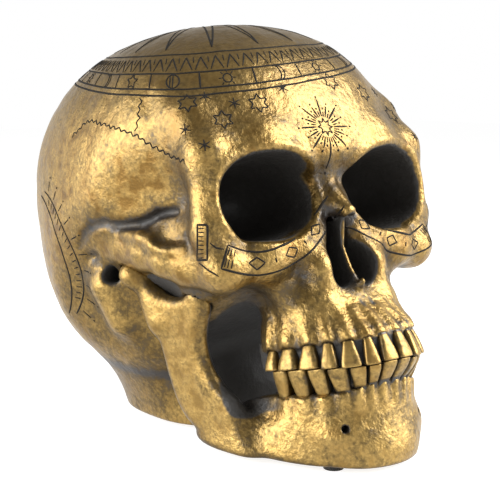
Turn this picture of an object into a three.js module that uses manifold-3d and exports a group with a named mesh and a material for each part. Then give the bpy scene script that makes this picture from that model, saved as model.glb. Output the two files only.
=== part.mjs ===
// A skull ornament: two glued resin castings, the cranium and the lower jaw, on four felt pads.
// It stands on its chin and on a squat foot under the back of the head, face towards -Y, in millimetres.
import * as THREE from 'three';
import { edgeTable, triTable } from 'three/addons/objects/MarchingCubes.js';
import { mergeVertices } from 'three/addons/utils/BufferGeometryUtils.js';
import Module from 'manifold-3d';

// Driving sizes. Every place on the skull is a share of half the breadth, length and height of the vault.
const SKULL_BREADTH = 148;
const SKULL_LENGTH = 168;
const SKULL_HEIGHT = 155;
const LEAN_DEGREES = 14.6;

// Casting and assembly.
const WALL = 6;
const SEAM = 0.3;
const JAW_CLEARANCE = 1.3;
const PEG_RADIUS = 2.4;
const PEG_LENGTH = 7;
const EAR_RADIUS = 3.6;
const SEPTUM_THICKNESS = 1.4;
const MENTAL_HOLE_RADIUS = 1.5;
const MENTAL_HOLE_DEPTH = 3;

// Base plate and felt.
const PORT_RADIUS = 13;
const PLATE_THICKNESS = 2.4;
const PLATE_LEDGE = 3;
const PLATE_TO_FELT = 5;
const FELT_RADIUS = 4;
const FELT_THICKNESS = 1.5;

// How finely the cast surfaces are faceted, and how far a cutter runs past what it cuts.
const FACE_CELL = 4.5;
const SIDE_CELL = 5.2;
const JAW_CELL = 6.6;
const VAULT_CELL = 12;
const HOLLOW_CELL = 15;
const ROD_SIDES = 12;
const DISC_SIDES = 32;
const OVERRUN = 8;

const degrees = Math.PI / 180;
const lean = LEAN_DEGREES * degrees;
const half = [SKULL_BREADTH / 2, SKULL_LENGTH / 2, SKULL_HEIGHT / 2];
const place = (shares) => half.map((size, axis) => size * shares[axis]);
const thick = (share) => share * half[0];

// The skull's own frame: origin between the ears, level with the ear holes, X to its left, Z up its back.
// The chin's lowest point and the felt under it fix how high the ears stand over the table.
const chinBaseShares = [0, -1.024, -1.219];
const chinBase = place(chinBaseShares);
const underside = FELT_THICKNESS + SEAM;
const earHeight = chinBase[1] * Math.sin(lean) - chinBase[2] * Math.cos(lean);
const skullToTable = new THREE.Matrix4().makeRotationX(-lean).setPosition(0, 0, earHeight);
const heightOverTable = (y, z) => z * Math.cos(lean) - y * Math.sin(lean) + earHeight;

// Blends of two distances: joined, or cut, with a fillet about as wide as the last value.
function joined(a, b, width) {
  const overlap = Math.max(width - Math.abs(a - b), 0) / width;
  return Math.min(a, b) - overlap * overlap * width / 4;
}
const meet = (a, b, width) => -joined(-a, -b, width);
const cutFrom = (a, b, width) => -joined(-a, b, width);

// Distance to an ellipsoid whose squareness above 2 makes it boxier, tilted about X and turned about Z.
function ellipsoid({ centreShares, radiiShares, squareness = 2, tilt = 0, turn = 0 }) {
  const centre = place(centreShares);
  const radii = place(radiiShares);
  const [tiltCos, tiltSin] = [Math.cos(tilt * degrees), Math.sin(tilt * degrees)];
  const [turnCos, turnSin] = [Math.cos(turn * degrees), Math.sin(turn * degrees)];
  return (x, y, z) => {
    const level = [x - centre[0], y - centre[1], z - centre[2]];
    const tilted = [
      level[0],
      tiltCos * level[1] - tiltSin * level[2],
      tiltSin * level[1] + tiltCos * level[2],
    ];
    const own = [
      turnCos * tilted[0] - turnSin * tilted[1],
      turnSin * tilted[0] + turnCos * tilted[1],
      tilted[2],
    ];
    const ratios = own.map((value, axis) => Math.abs(value / radii[axis]));
    const sum = ratios.reduce((total, ratio) => total + ratio ** squareness, Number.EPSILON);
    const slopes = ratios.map((ratio, axis) => ratio ** (squareness - 1) / radii[axis]);
    const slope = Math.hypot(...slopes) * sum ** (1 / squareness - 1) + Number.EPSILON;
    return (sum ** (1 / squareness) - 1) / slope;
  };
}

// Distance to a bar with round ends. Each point is x, y, z and radius as shares; flatness thins it along X.
function bar(fromShares, toShares, flatness = 1) {
  const from = place(fromShares);
  const along = place(toShares).map((value, axis) => value - from[axis]);
  const lengthSquared = along.reduce((total, value) => total + value * value, 0);
  const radii = [thick(fromShares[3]), thick(toShares[3])];
  return (x, y, z) => {
    const [dx, dy, dz] = [x - from[0], y - from[1], z - from[2]];
    const reach = (dx * along[0] + dy * along[1] + dz * along[2]) / lengthSquared;
    const share = THREE.MathUtils.clamp(reach, 0, 1);
    const across = (dx - share * along[0]) / flatness;
    const off = Math.hypot(across, dy - share * along[1], dz - share * along[2]);
    return off - THREE.MathUtils.lerp(radii[0], radii[1], share);
  };
}

// Bars end to end through a list of points, blended where they meet.
function chain(pointShares, blendShare, flatness = 1) {
  const bars = pointShares.slice(1).map((point, index) => bar(pointShares[index], point, flatness));
  return (x, y, z) => bars.map((one) => one(x, y, z)).reduce((a, b) => joined(a, b, thick(blendShare)));
}

// Distance to a U seen from above: half a flattened round in front of its back line, straight behind it.
function arch(x, y, halfWidth, backLine, depth, squareness) {
  const across = Math.abs(x) / halfWidth;
  const forward = Math.max(backLine - y, 0) / depth;
  const sum = across ** squareness + forward ** squareness + Number.EPSILON;
  const slope = Math.hypot(across ** (squareness - 1) / halfWidth, forward ** (squareness - 1) / depth);
  return (sum ** (1 / squareness) - 1) / (slope * sum ** (1 / squareness - 1) + Number.EPSILON);
}

// Fillet widths, as shares of half the breadth.
const filletShares = { wide: 0.25, base: 0.18, soft: 0.12, firm: 0.08, tight: 0.035 };
const fillet = Object.fromEntries(Object.entries(filletShares).map(([name, share]) => [name, thick(share)]));

// The vault, and the hollows that narrow it at the temple, round the ear and beside the jaw.
const vault = ellipsoid({
  centreShares: [0, -0.01, 0.305], radiiShares: [0.992, 0.998, 1.006], squareness: 2.4, tilt: -3,
});
const temple = ellipsoid({ centreShares: [1.243, -0.655, 0.09], radiiShares: [0.473, 0.458, 0.516] });
const earHollow = ellipsoid({ centreShares: [1.3, -0.1, -0.28], radiiShares: [0.51, 0.48, 0.49] });
const jawHollow = ellipsoid({ centreShares: [1.11, -0.33, -0.49], radiiShares: [0.55, 0.33, 0.49] });
const mastoid = bar([0.81, 0.024, -0.077, 0.108], [0.764, 0.012, -0.271, 0.084]);

// The underside rises forward from the foot to the back of the face.
const basePointShares = [0, -0.667, -0.227];
const baseSlope = 64 * degrees;
const basePoint = place(basePointShares);
const underBase = (y, z) => (
  -(y - basePoint[1]) * Math.cos(baseSlope) - (z - basePoint[2]) * Math.sin(baseSlope)
);

// Where the vault's front ends, behind the face and under the brow.
const faceBackShare = -0.79;
const browUnderShare = 0.37;
const faceBack = faceBackShare * half[1];
const browUnder = browUnderShare * half[2];

// The bony frame of the face, each point as x, y, z and radius.
const browShares = [[0.11, -0.89, 0.44, 0.095], [0.39, -0.9, 0.48, 0.08], [0.68, -0.81, 0.44, 0.074]];
const orbitSideShares = [[0.701, -0.798, 0.439, 0.089], [0.728, -0.777, 0.077, 0.092]];
const templeRidgeShares = [
  [0.689, -0.792, 0.452, 0.084], [0.682, -0.714, 0.632, 0.073], [0.649, -0.571, 0.774, 0.041],
];
const cheekShares = [
  [0.7, -0.77, 0.03, 0.08], [0.67, -0.79, -0.12, 0.108],
  [0.46, -0.87, -0.1, 0.088], [0.27, -0.9, -0.08, 0.08],
];
const cheekRootShares = [
  [0.486, -0.833, -0.116, 0.081], [0.338, -0.827, -0.232, 0.068], [0.27, -0.893, -0.387, 0.081],
];
const noseSideShares = [
  [0.068, -0.81, 0.335, 0.061], [0.101, -0.839, 0.181, 0.054], [0.128, -0.881, 0.026, 0.051],
  [0.189, -0.935, -0.181, 0.062], [0.203, -0.946, -0.361, 0.081],
];
const noseBridgeShares = [
  [0, -0.917, 0.413, 0.101], [0, -0.94, 0.258, 0.058], [0, -0.964, 0.155, 0.057], [0, -1.01, 0.084, 0.049],
];
const spineShares = [[0, -1, -0.387, 0.047], [0, -1.071, -0.316, 0.016]];
const cheekArchShares = [
  [0.689, -0.762, -0.116, 0.095], [0.77, -0.619, -0.065, 0.084], [0.818, -0.5, -0.013, 0.073],
  [0.831, -0.357, 0.045, 0.07], [0.824, -0.19, 0.103, 0.07], [0.838, -0.024, 0.142, 0.062],
  [0.878, 0.107, 0.181, 0.043],
];
const cheekArchFlatness = 0.7;
const blendShares = { frame: 0.11, nose: 0.08, arch: 0.08, fine: 0.05 };
const brow = chain(browShares, blendShares.frame);
const orbitSide = chain(orbitSideShares, blendShares.frame);
const templeRidge = chain(templeRidgeShares, blendShares.frame);
const cheek = chain(cheekShares, blendShares.frame);
const cheekRoot = chain(cheekRootShares, blendShares.nose);
const noseSide = chain(noseSideShares, blendShares.nose);
const noseBridge = chain(noseBridgeShares, blendShares.nose);
const nasalSpine = chain(spineShares, blendShares.fine);
const cheekArch = chain(cheekArchShares, blendShares.arch, cheekArchFlatness);
const archFloor = ellipsoid({
  centreShares: [0.662, -0.405, 0.077],
  radiiShares: [0.189, 0.357, 0.084],
  tilt: 8,
});

// Eye sockets and the two lobes of the nose, which are cut into the face.
const eyeSocket = ellipsoid({
  centreShares: [0.41, -0.86, 0.2], radiiShares: [0.29, 0.45, 0.22], squareness: 2.4, turn: -8,
});
const noseLobe = ellipsoid({ centreShares: [0.076, -1.024, -0.178], radiiShares: [0.086, 0.31, 0.121] });
const noseTop = ellipsoid({ centreShares: [0, -1.048, -0.065], radiiShares: [0.076, 0.31, 0.139] });
const rimShares = { height: 0.019, distance: 0.035, width: 0.032 };

// The tooth rows: half width, back line and depth of each U, and where the teeth meet.
const upperArchShares = { halfWidth: 0.399, backLine: -0.643, depth: 0.512 };
const lowerArchShares = { halfWidth: 0.372, backLine: -0.643, depth: 0.482 };
const rowSquareness = 2.1;
const biteShare = -0.664;
const biteLevel = biteShare * half[2];
const upperBoneShares = {
  halfWidth: 0.419, backLine: -0.643, depth: 0.521, top: -0.103, bottom: -0.568, back: -0.619,
};
const boneStepShares = { from: -0.503, over: 0.116, inward: 0.036 };
const boneWaistShares = { from: -0.439, over: 0.516, inward: 0.238 };

// The cranium without its teeth.
function craniumDistance(x, y, z) {
  let bone = meet(vault(x, y, z), underBase(y, z), fillet.base);
  bone = meet(bone, joined(faceBack - y, browUnder - z, fillet.firm), fillet.soft);
  bone = cutFrom(bone, temple(x, y, z), fillet.wide);
  bone = cutFrom(bone, earHollow(x, y, z), fillet.wide);
  bone = cutFrom(bone, jawHollow(x, y, z), fillet.soft);
  bone = joined(bone, mastoid(x, y, z), fillet.soft);
  let face = joined(brow(x, y, z), orbitSide(x, y, z), fillet.soft);
  face = joined(face, templeRidge(x, y, z), fillet.soft);
  face = joined(face, cheek(x, y, z), fillet.soft);
  face = joined(face, cheekRoot(x, y, z), fillet.firm);
  face = joined(face, noseSide(x, y, z), fillet.firm);
  face = joined(face, noseBridge(x, y, z), fillet.firm);
  face = joined(face, upperBone(x, y, z), fillet.soft);
  face = joined(face, nasalSpine(x, y, z), fillet.tight);
  bone = joined(bone, face, fillet.soft);
  bone = joined(bone, cheekArch(x, y, z), fillet.firm);
  bone = joined(bone, archFloor(x, y, z), fillet.firm);
  const socket = eyeSocket(x, y, z);
  const fromRim = (socket - thick(rimShares.distance)) / thick(rimShares.width);
  bone -= thick(rimShares.height) * Math.exp(-fromRim * fromRim);
  bone = cutFrom(bone, socket, fillet.tight);
  return cutFrom(bone, joined(noseLobe(x, y, z), noseTop(x, y, z), fillet.firm), fillet.tight);
}

// The upper jaw bone: a U filled in behind the teeth, stepped in over their roots and drawn in higher up.
function upperBone(x, y, z) {
  const shares = upperBoneShares;
  const [top, bottom] = [shares.top * half[2], shares.bottom * half[2]];
  const plan = arch(
    x, y, shares.halfWidth * half[0], shares.backLine * half[1], shares.depth * half[1],
    rowSquareness,
  );
  const part = ({ from, over }) => Math.max((z - from * half[2]) / (over * half[2]), 0);
  const step = thick(boneStepShares.inward) * Math.min(part(boneStepShares), 1);
  const waist = thick(boneWaistShares.inward) * part(boneWaistShares) ** 2;
  const level = Math.abs(z - (top + bottom) / 2) - (top - bottom) / 2;
  return meet(meet(plan + step + waist, level, fillet.firm), y - shares.back * half[1], fillet.soft);
}

// The lower jaw's body: a U whose shape runs from the tooth row above to the wide base on the table.
const bodyTopShares = { halfWidth: 0.378, backLine: -0.619, depth: 0.457 };
const bodyBaseShares = { halfWidth: 0.581, backLine: -0.071, depth: 0.935 };
const bodyLevelShare = -0.761;
const bodyHalfThicknessShare = 0.074;
const bodyOffsetShare = 0.02;
const bodyBackShares = [0, -0.524, -0.735];
const bodyBackSlope = 28 * degrees;
const bodySinkShare = 0.035;
const bodyRiseShares = { from: -0.893, over: 0.714, height: 0.089 };
const bodySquareness = 2;
const bodyFlare = 1.4;
const chin = ellipsoid({ centreShares: [0, -0.994, -1.11], radiiShares: [0.216, 0.107, 0.11] });
const chinSide = ellipsoid({ centreShares: [0.189, -0.943, -1.013], radiiShares: [0.138, 0.102, 0.097] });
const recess = ellipsoid({
  centreShares: [0.52, -0.69, -0.665], radiiShares: [0.128, 0.179, 0.252], squareness: 2.6,
});

// Its base lies on the table under the chin and rises towards the back.
function jawBody(x, y, z) {
  const top = bodyLevelShare * half[2];
  const over = heightOverTable(y, z) - underside + thick(bodySinkShare);
  const depth = top - z + over / Math.cos(lean);
  const down = THREE.MathUtils.clamp(
    (top - z) / Math.max(depth, thick(bodyHalfThicknessShare)), 0, 1,
  ) ** bodyFlare;
  const run = (name) => THREE.MathUtils.lerp(bodyTopShares[name], bodyBaseShares[name], down);
  const plan = arch(
    x, y, run('halfWidth') * half[0], run('backLine') * half[1], run('depth') * half[1], bodySquareness,
  );
  const wall = Math.abs(plan + thick(bodyOffsetShare)) - thick(bodyHalfThicknessShare);
  const { from, over: stretch, height } = bodyRiseShares;
  const rise = thick(height) * THREE.MathUtils.clamp((y / half[1] - from) / stretch, 0, 1);
  const level = Math.max(z - top, rise - over);
  const [, backY, backZ] = place(bodyBackShares);
  const behind = (y - backY) * Math.sin(bodyBackSlope) + (z - backZ) * Math.cos(bodyBackSlope);
  return meet(meet(wall, level, fillet.firm), behind, fillet.soft);
}

// The ramus: a leaning plate with the condyle behind, the coronoid in front and a notch between them.
const ramusShares = {
  middleX: 0.649, middleY: -0.357, middleZ: -0.516, rear: -0.21, front: -0.595, top: -0.155, bottom: -0.897,
  halfThickness: 0.047, corner: 0.35,
};
const flareBack = 0.17;
const flareUp = 0.18;
const rearSlope = 0.06;
const bottomSlope = 0.3;
const bottomTurnShare = -0.083;
const thickening = 0.015;
const notch = ellipsoid({
  centreShares: [0, -0.429, -0.052], radiiShares: [1, 0.149, 0.161], squareness: 2.2, tilt: -28,
});
const frontCurve = ellipsoid({ centreShares: [0, -0.738, -0.542], radiiShares: [1, 0.245, 0.277] });
const condyleShares = [[0.811, -0.19, -0.052, 0.062], [0.676, -0.179, -0.077, 0.062]];
const condyle = chain(condyleShares, blendShares.fine);
const neckShares = [[0.757, -0.208, -0.052, 0.062], [0.703, -0.262, -0.31, 0.074]];
const neck = chain(neckShares, blendShares.fine);

function ramus(x, y, z) {
  const at = ramusShares;
  const [middleY, middleZ] = [at.middleY * half[1], at.middleZ * half[2]];
  const middle = at.middleX * half[0] + flareBack * (y - middleY) + flareUp * (z - middleZ);
  const halfThickness = thick(at.halfThickness) + thickening * Math.max(at.top * half[2] - z, 0);
  const rear = y - at.rear * half[1] + rearSlope * (z - middleZ);
  const bottom = at.bottom * half[2] - bottomSlope * Math.max(bottomTurnShare * half[1] - y, 0) - z;
  let plate = meet(rear, at.front * half[1] - y, fillet.firm);
  plate = cutFrom(plate, frontCurve(0, y, z), fillet.tight);
  plate = meet(plate, z - at.top * half[2], fillet.firm);
  plate = meet(plate, meet(rear, bottom, thick(at.corner)), fillet.firm);
  plate = cutFrom(plate, notch(0, y, z), fillet.tight);
  plate = meet(plate, Math.abs(x - middle) - halfThickness, fillet.firm);
  return joined(plate, joined(condyle(x, y, z), neck(x, y, z), fillet.tight), fillet.firm);
}

// The lower jaw without its teeth. A recess under the last teeth parts the tooth row from the ramus.
function jawDistance(x, y, z) {
  let body = cutFrom(jawBody(x, y, z), recess(x, y, z), fillet.tight);
  body = joined(body, chin(x, y, z), fillet.soft);
  body = joined(body, chinSide(x, y, z), fillet.firm);
  return joined(body, ramus(x, y, z), fillet.soft);
}

// The foot under the back of the head is a squat oval block, so its places are in the table's frame.
const footCentreShares = [0, 0.042, 0.116];
const footBlock = ellipsoid({
  centreShares: footCentreShares, radiiShares: [0.524, 0.435, 0.335], squareness: 2.6,
});
const footBlendShare = 0.2;
const foot = (x, y, z) => meet(footBlock(x, y, z), -z, fillet.tight);

// Table frame to skull frame, folded to one side because the skull is symmetric.
function inSkull(x, y, z) {
  const up = z - earHeight;
  return [Math.abs(x), y * Math.cos(lean) - up * Math.sin(lean), y * Math.sin(lean) + up * Math.cos(lean)];
}
const jawCast = (x, y, z) => jawDistance(...inSkull(x, y, z));
const craniumOuter = (x, y, z) => joined(
  craniumDistance(...inSkull(x, y, z)), foot(x, y, z), thick(footBlendShare),
);
const craniumCast = (x, y, z) => Math.max(craniumOuter(x, y, z), JAW_CLEARANCE - jawCast(x, y, z));

// The hollow follows the outside a wall's thickness in, and stays out of the face.
const hollowFrontShare = -0.4;
const hollowCast = (x, y, z) => Math.max(craniumOuter(x, y, z) + WALL, hollowFrontShare * half[1] - y);

// Evenly spaced grid lines over stretches that each have their own cell size.
function gridLines(start, stretches) {
  const lines = [start];
  for (const { to, cell } of stretches) {
    const from = lines.at(-1);
    const count = Math.ceil((to - from) / cell);
    for (let index = 1; index <= count; index += 1) {
      lines.push(THREE.MathUtils.lerp(from, to, index / count));
    }
  }
  return lines;
}

// The cube's corners and the corners that each of its edges joins, in the order of the marching cubes tables.
const corners = [[0, 0, 0], [1, 0, 0], [1, 1, 0], [0, 1, 0], [0, 0, 1], [1, 0, 1], [1, 1, 1], [0, 1, 1]];
const edgeEnds = [
  [0, 1], [1, 2], [3, 2], [0, 3], [4, 5], [5, 6], [7, 6], [4, 7], [0, 4], [1, 5], [2, 6], [3, 7],
];
const edgeAxes = [0, 1, 0, 1, 0, 1, 0, 1, 2, 2, 2, 2];
const cornerMarginShare = 0.08;
const settleShare = 0.05;
const tableStride = 16;

// Moves a point straight onto the surface where the distance is zero, by at most a share of a cell.
function settle(distance, point, cell) {
  const step = cell * settleShare;
  const slope = point.map((value, axis) => {
    const [ahead, behind] = [step, -step].map(
      (shift) => point.map((one, other) => (other === axis ? one + shift : one)),
    );
    return (distance(...ahead) - distance(...behind)) / (2 * step);
  });
  const steepness = slope.reduce((total, value) => total + value * value, Number.EPSILON);
  const limit = cell * cornerMarginShare * 2;
  const move = THREE.MathUtils.clamp(-distance(...point) / steepness, -limit, limit);
  return point.map((value, axis) => value + move * slope[axis]);
}

// A closed mesh of the surface where the distance is zero, as positions and triangles with shared corners.
function castSurface(distance, lines) {
  const sizes = lines.map((axisLines) => axisLines.length);
  const index = (i, j, k) => (i * sizes[1] + j) * sizes[2] + k;
  const values = new Float64Array(sizes[0] * sizes[1] * sizes[2]);
  lines[0].forEach((x, i) => lines[1].forEach((y, j) => lines[2].forEach((z, k) => {
    values[index(i, j, k)] = distance(x, y, z);
  })));
  const positions = [];
  const triangles = [];
  const seen = new Map();
  const crossing = (low, high, axis) => {
    const key = index(...low) * corners[0].length + axis;
    if (!seen.has(key)) {
      const [a, b] = [values[index(...low)], values[index(...high)]];
      const share = THREE.MathUtils.clamp(a / (a - b), cornerMarginShare, 1 - cornerMarginShare);
      const point = low.map(
        (step, one) => THREE.MathUtils.lerp(lines[one][step], lines[one][high[one]], share),
      );
      const cell = lines[axis][high[axis]] - lines[axis][low[axis]];
      seen.set(key, positions.length / point.length);
      positions.push(...settle(distance, point, cell));
    }
    return seen.get(key);
  };
  for (let i = 0; i < sizes[0] - 1; i += 1) {
    for (let j = 0; j < sizes[1] - 1; j += 1) {
      for (let k = 0; k < sizes[2] - 1; k += 1) {
        const at = corners.map((corner) => [i + corner[0], j + corner[1], k + corner[2]]);
        const inside = at.map((step) => values[index(...step)] < 0);
        const code = inside.reduce((total, one, bit) => total + (one ? 1 << bit : 0), 0);
        if (edgeTable[code] === 0) continue;
        const edges = triTable.slice(code * tableStride, (code + 1) * tableStride)
          .filter((edge) => edge >= 0);
        edges.reverse().forEach((edge) => {
          const [low, high] = edgeEnds[edge];
          triangles.push(crossing(at[low], at[high], edgeAxes[edge]));
        });
      }
    }
  }
  return { positions, triangles };
}

const wasm = await Module();
wasm.setup();

function toSolid(positions, triangles) {
  const mesh = new wasm.Mesh({
    numProp: 3, vertProperties: new Float32Array(positions), triVerts: new Uint32Array(triangles),
  });
  return new wasm.Manifold(mesh);
}

function solidOfGeometry(geometry, matrix = new THREE.Matrix4()) {
  const bare = geometry.clone().applyMatrix4(matrix);
  bare.deleteAttribute('normal');
  bare.deleteAttribute('uv');
  const merged = mergeVertices(bare);
  return toSolid(merged.getAttribute('position').array, merged.index.array);
}

function solidOfCast(distance, lines) {
  const { positions, triangles } = castSurface(distance, lines);
  return toSolid(positions, triangles);
}

function geometryOf(solid) {
  const { vertProperties, triVerts } = solid.getMesh();
  const geometry = new THREE.BufferGeometry();
  geometry.setAttribute('position', new THREE.BufferAttribute(vertProperties, 3));
  geometry.setIndex(new THREE.BufferAttribute(triVerts, 1));
  geometry.computeVertexNormals();
  return geometry;
}

// Grid lines over the whole skull: fine over the face, coarser over the jaw and the ears,
// coarsest over the vault.
const reachShares = {
  side: 1.08, front: -1.46, faceEnd: -0.74, earEnd: 0.16, back: 1.16,
  bottom: -0.06, jawTop: 0.34, faceTop: 1.62, top: 2.34,
};
const along = (name, axis) => reachShares[name] * half[axis];
const sideLines = gridLines(-along('side', 0), [
  { to: 0, cell: SIDE_CELL }, { to: along('side', 0), cell: SIDE_CELL },
]);
const depthLines = gridLines(along('front', 1), [
  { to: along('faceEnd', 1), cell: FACE_CELL }, { to: along('earEnd', 1), cell: JAW_CELL },
  { to: along('back', 1), cell: VAULT_CELL },
]);
const heightLines = gridLines(along('bottom', 2), [
  { to: along('jawTop', 2), cell: JAW_CELL }, { to: along('faceTop', 2), cell: FACE_CELL },
  { to: along('top', 2), cell: VAULT_CELL },
]);
const coarseLines = ['side', 'back', 'top'].map((name, axis) => {
  const from = [-along('side', 0), along('front', 1), along('bottom', 2)][axis];
  return gridLines(from, [{ to: along(name, axis), cell: HOLLOW_CELL }]);
});

// Everything below the felt's top is cut away flat.
const cutSize = 2 * (SKULL_BREADTH + SKULL_LENGTH);
const tableCutter = solidOfGeometry(
  new THREE.BoxGeometry(cutSize, cutSize, cutSize).translate(0, 0, underside - cutSize / 2),
);

// Widths of the teeth from the midline back, and their height, thickness and taper.
const upperWidthShares = [0.116, 0.1, 0.106, 0.098, 0.098, 0.118, 0.108];
const lowerWidthShares = [0.084, 0.092, 0.104, 0.1, 0.1, 0.122, 0.108];
const toothShares = { upperHeight: 0.19, lowerHeight: 0.17, thickness: 0.12 };
const outlineShares = { neck: 0.34, belly: 0.49, edge: 0.42, bellyHeight: 0.16 };
const curveSteps = 200;

// Centre and heading of each tooth, by its run along the U from the midline.
function toothPlaces(archShares, widthShares) {
  const points = [];
  for (let step = 0; step <= curveSteps; step += 1) {
    const angle = (step / curveSteps) * Math.PI / 2;
    points.push([
      archShares.halfWidth * half[0] * Math.sin(angle) ** (2 / rowSquareness),
      archShares.backLine * half[1] - archShares.depth * half[1] * Math.cos(angle) ** (2 / rowSquareness),
    ]);
  }
  points.push([archShares.halfWidth * half[0], (archShares.backLine + archShares.depth) * half[1]]);
  const steps = points.slice(1).map((point, index) => Math.hypot(
    point[0] - points[index][0], point[1] - points[index][1],
  ));
  let start = 0;
  return widthShares.map((share) => {
    const width = thick(share);
    let run = start + width / 2;
    start += width;
    const index = steps.findIndex((step) => {
      if (run <= step) return true;
      run -= step;
      return false;
    });
    const part = run / steps[index];
    const [from, to] = [points[index], points[index + 1]];
    const heading = Math.atan2(to[1] - from[1], to[0] - from[0]);
    return {
      width,
      heading,
      x: THREE.MathUtils.lerp(from[0], to[0], part),
      y: THREE.MathUtils.lerp(from[1], to[1], part),
    };
  });
}

// One tooth, seen from its front: narrow at the neck, widest near the biting edge, which is flat.
function toothSolid({ x, y, width, heading }, height, side, upward) {
  const rise = height * outlineShares.bellyHeight;
  const outline = [
    [outlineShares.edge * width, 0], [outlineShares.belly * width, rise],
    [outlineShares.neck * width, height],
  ];
  const mirrored = outline.map(([across, up]) => [-across, up]).reverse();
  const shape = new THREE.Shape(
    [...outline, ...mirrored].map(([across, up]) => new THREE.Vector2(across, up)),
  );
  const thickness = thick(toothShares.thickness);
  const geometry = new THREE.ExtrudeGeometry(shape, { depth: thickness, bevelEnabled: false });
  geometry.translate(0, 0, -thickness / 2);
  const stand = new THREE.Matrix4().makeRotationX(upward ? Math.PI / 2 : -Math.PI / 2);
  const turn = new THREE.Matrix4().makeRotationZ(side * heading);
  const level = biteLevel + (upward ? SEAM / 2 : -SEAM / 2);
  const move = new THREE.Matrix4().makeTranslation(side * x, y, level);
  return solidOfGeometry(geometry, skullToTable.clone().multiply(move).multiply(turn).multiply(stand));
}

function toothRow(archShares, widthShares, heightShare, upward) {
  const places = toothPlaces(archShares, widthShares);
  return [1, -1].flatMap((side) => places.map((one) => toothSolid(one, thick(heightShare), side, upward)));
}

// A round rod between two points of the skull's frame, for pegs, sockets and drilled holes.
function rod(from, to, radius, extra = 0) {
  const start = new THREE.Vector3(...from).applyMatrix4(skullToTable);
  const end = new THREE.Vector3(...to).applyMatrix4(skullToTable);
  const direction = end.clone().sub(start).normalize();
  end.addScaledVector(direction, extra);
  const length = end.distanceTo(start);
  const geometry = new THREE.CylinderGeometry(radius, radius, length, ROD_SIDES).translate(0, length / 2, 0);
  const turn = new THREE.Quaternion().setFromUnitVectors(new THREE.Vector3(0, 1, 0), direction);
  const matrix = new THREE.Matrix4().compose(start, turn, new THREE.Vector3(1, 1, 1));
  return solidOfGeometry(geometry, matrix);
}
const sides = [1, -1];
const mirror = (point, side) => [side * point[0], point[1], point[2]];
const raised = (point, rise) => [point[0], point[1], point[2] + rise];

// The glue pegs stand on the condyles and run up into sockets under the temples.
const pegFootShares = [0.743, -0.185, -0.06];
const pegFoot = place(pegFootShares);
const condyleRadius = thick(condyleShares[0][3]);
const pegTop = raised(pegFoot, condyleRadius + PEG_LENGTH);

// Ear holes and mental holes are blind, drilled from outside the surface inwards.
const earHoleShares = [[1.108, -0.143, -0.039], [0.676, -0.024, -0.026]];
const mentalHoleShares = [[0.3, -1.2, -0.99], [0.25, -1.0, -0.99]];

// The thin wall in the nose, cut from plate, seen from the side.
const septumShares = [
  [-0.74, 0.06], [-0.97, 0.04], [-0.96, -0.08], [-0.985, -0.18],
  [-1.014, -0.25], [-1.02, -0.33], [-0.74, -0.33],
];
function septumSolid() {
  const shape = new THREE.Shape(septumShares.map(([y, z]) => new THREE.Vector2(y * half[1], z * half[2])));
  const geometry = new THREE.ExtrudeGeometry(shape, { depth: SEPTUM_THICKNESS, bevelEnabled: false });
  geometry.translate(0, 0, -SEPTUM_THICKNESS / 2);
  const upright = new THREE.Matrix4().makeBasis(
    new THREE.Vector3(0, 1, 0), new THREE.Vector3(0, 0, 1), new THREE.Vector3(1, 0, 0),
  );
  return solidOfGeometry(geometry, skullToTable.clone().multiply(upright));
}

// The port under the foot, and the plate that closes it, seated in a ledge.
const footY = place(footCentreShares)[1];
const plateRadius = PORT_RADIUS + PLATE_LEDGE;
const upright = new THREE.Matrix4().makeRotationX(Math.PI / 2);
function disc(radius, bottom, top, x = 0, y = footY) {
  const geometry = new THREE.CylinderGeometry(radius, radius, top - bottom, DISC_SIDES);
  return solidOfGeometry(
    geometry,
    new THREE.Matrix4().makeTranslation(x, y, (top + bottom) / 2).multiply(upright),
  );
}

function craniumSolid() {
  const outer = solidOfCast(craniumCast, [sideLines, depthLines, heightLines]);
  const hollow = solidOfCast(hollowCast, coarseLines);
  const teeth = toothRow(upperArchShares, upperWidthShares, toothShares.upperHeight, true);
  const portTop = underside + 2 * WALL + OVERRUN;
  const cutters = [
    hollow, tableCutter,
    disc(PORT_RADIUS, underside - OVERRUN, portTop),
    disc(plateRadius + SEAM, underside - OVERRUN, underside + PLATE_THICKNESS + SEAM),
    ...sides.flatMap((side) => [
      rod(mirror(earHoleShares.map(place)[0], side), mirror(earHoleShares.map(place)[1], side), EAR_RADIUS),
      rod(mirror(pegFoot, side), mirror(pegTop, side), PEG_RADIUS + SEAM, SEAM),
    ]),
  ];
  const filled = [...teeth, septumSolid()].reduce((whole, piece) => whole.add(piece), outer);
  return cutters.reduce((whole, cutter) => whole.subtract(cutter), filled);
}

function jawSolid() {
  const outer = solidOfCast(jawCast, [sideLines, depthLines, heightLines]);
  const teeth = toothRow(lowerArchShares, lowerWidthShares, toothShares.lowerHeight, false);
  const pegs = sides.map((side) => rod(mirror(pegFoot, side), mirror(pegTop, side), PEG_RADIUS));
  const holes = sides.map((side) => {
    const [outside, inside] = mentalHoleShares.map(place);
    return rod(mirror(outside, side), mirror(inside, side), MENTAL_HOLE_RADIUS, MENTAL_HOLE_DEPTH);
  });
  const filled = [...teeth, ...pegs].reduce((whole, piece) => whole.add(piece), outer);
  return [tableCutter, ...holes].reduce((whole, cutter) => whole.subtract(cutter), filled);
}

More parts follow.
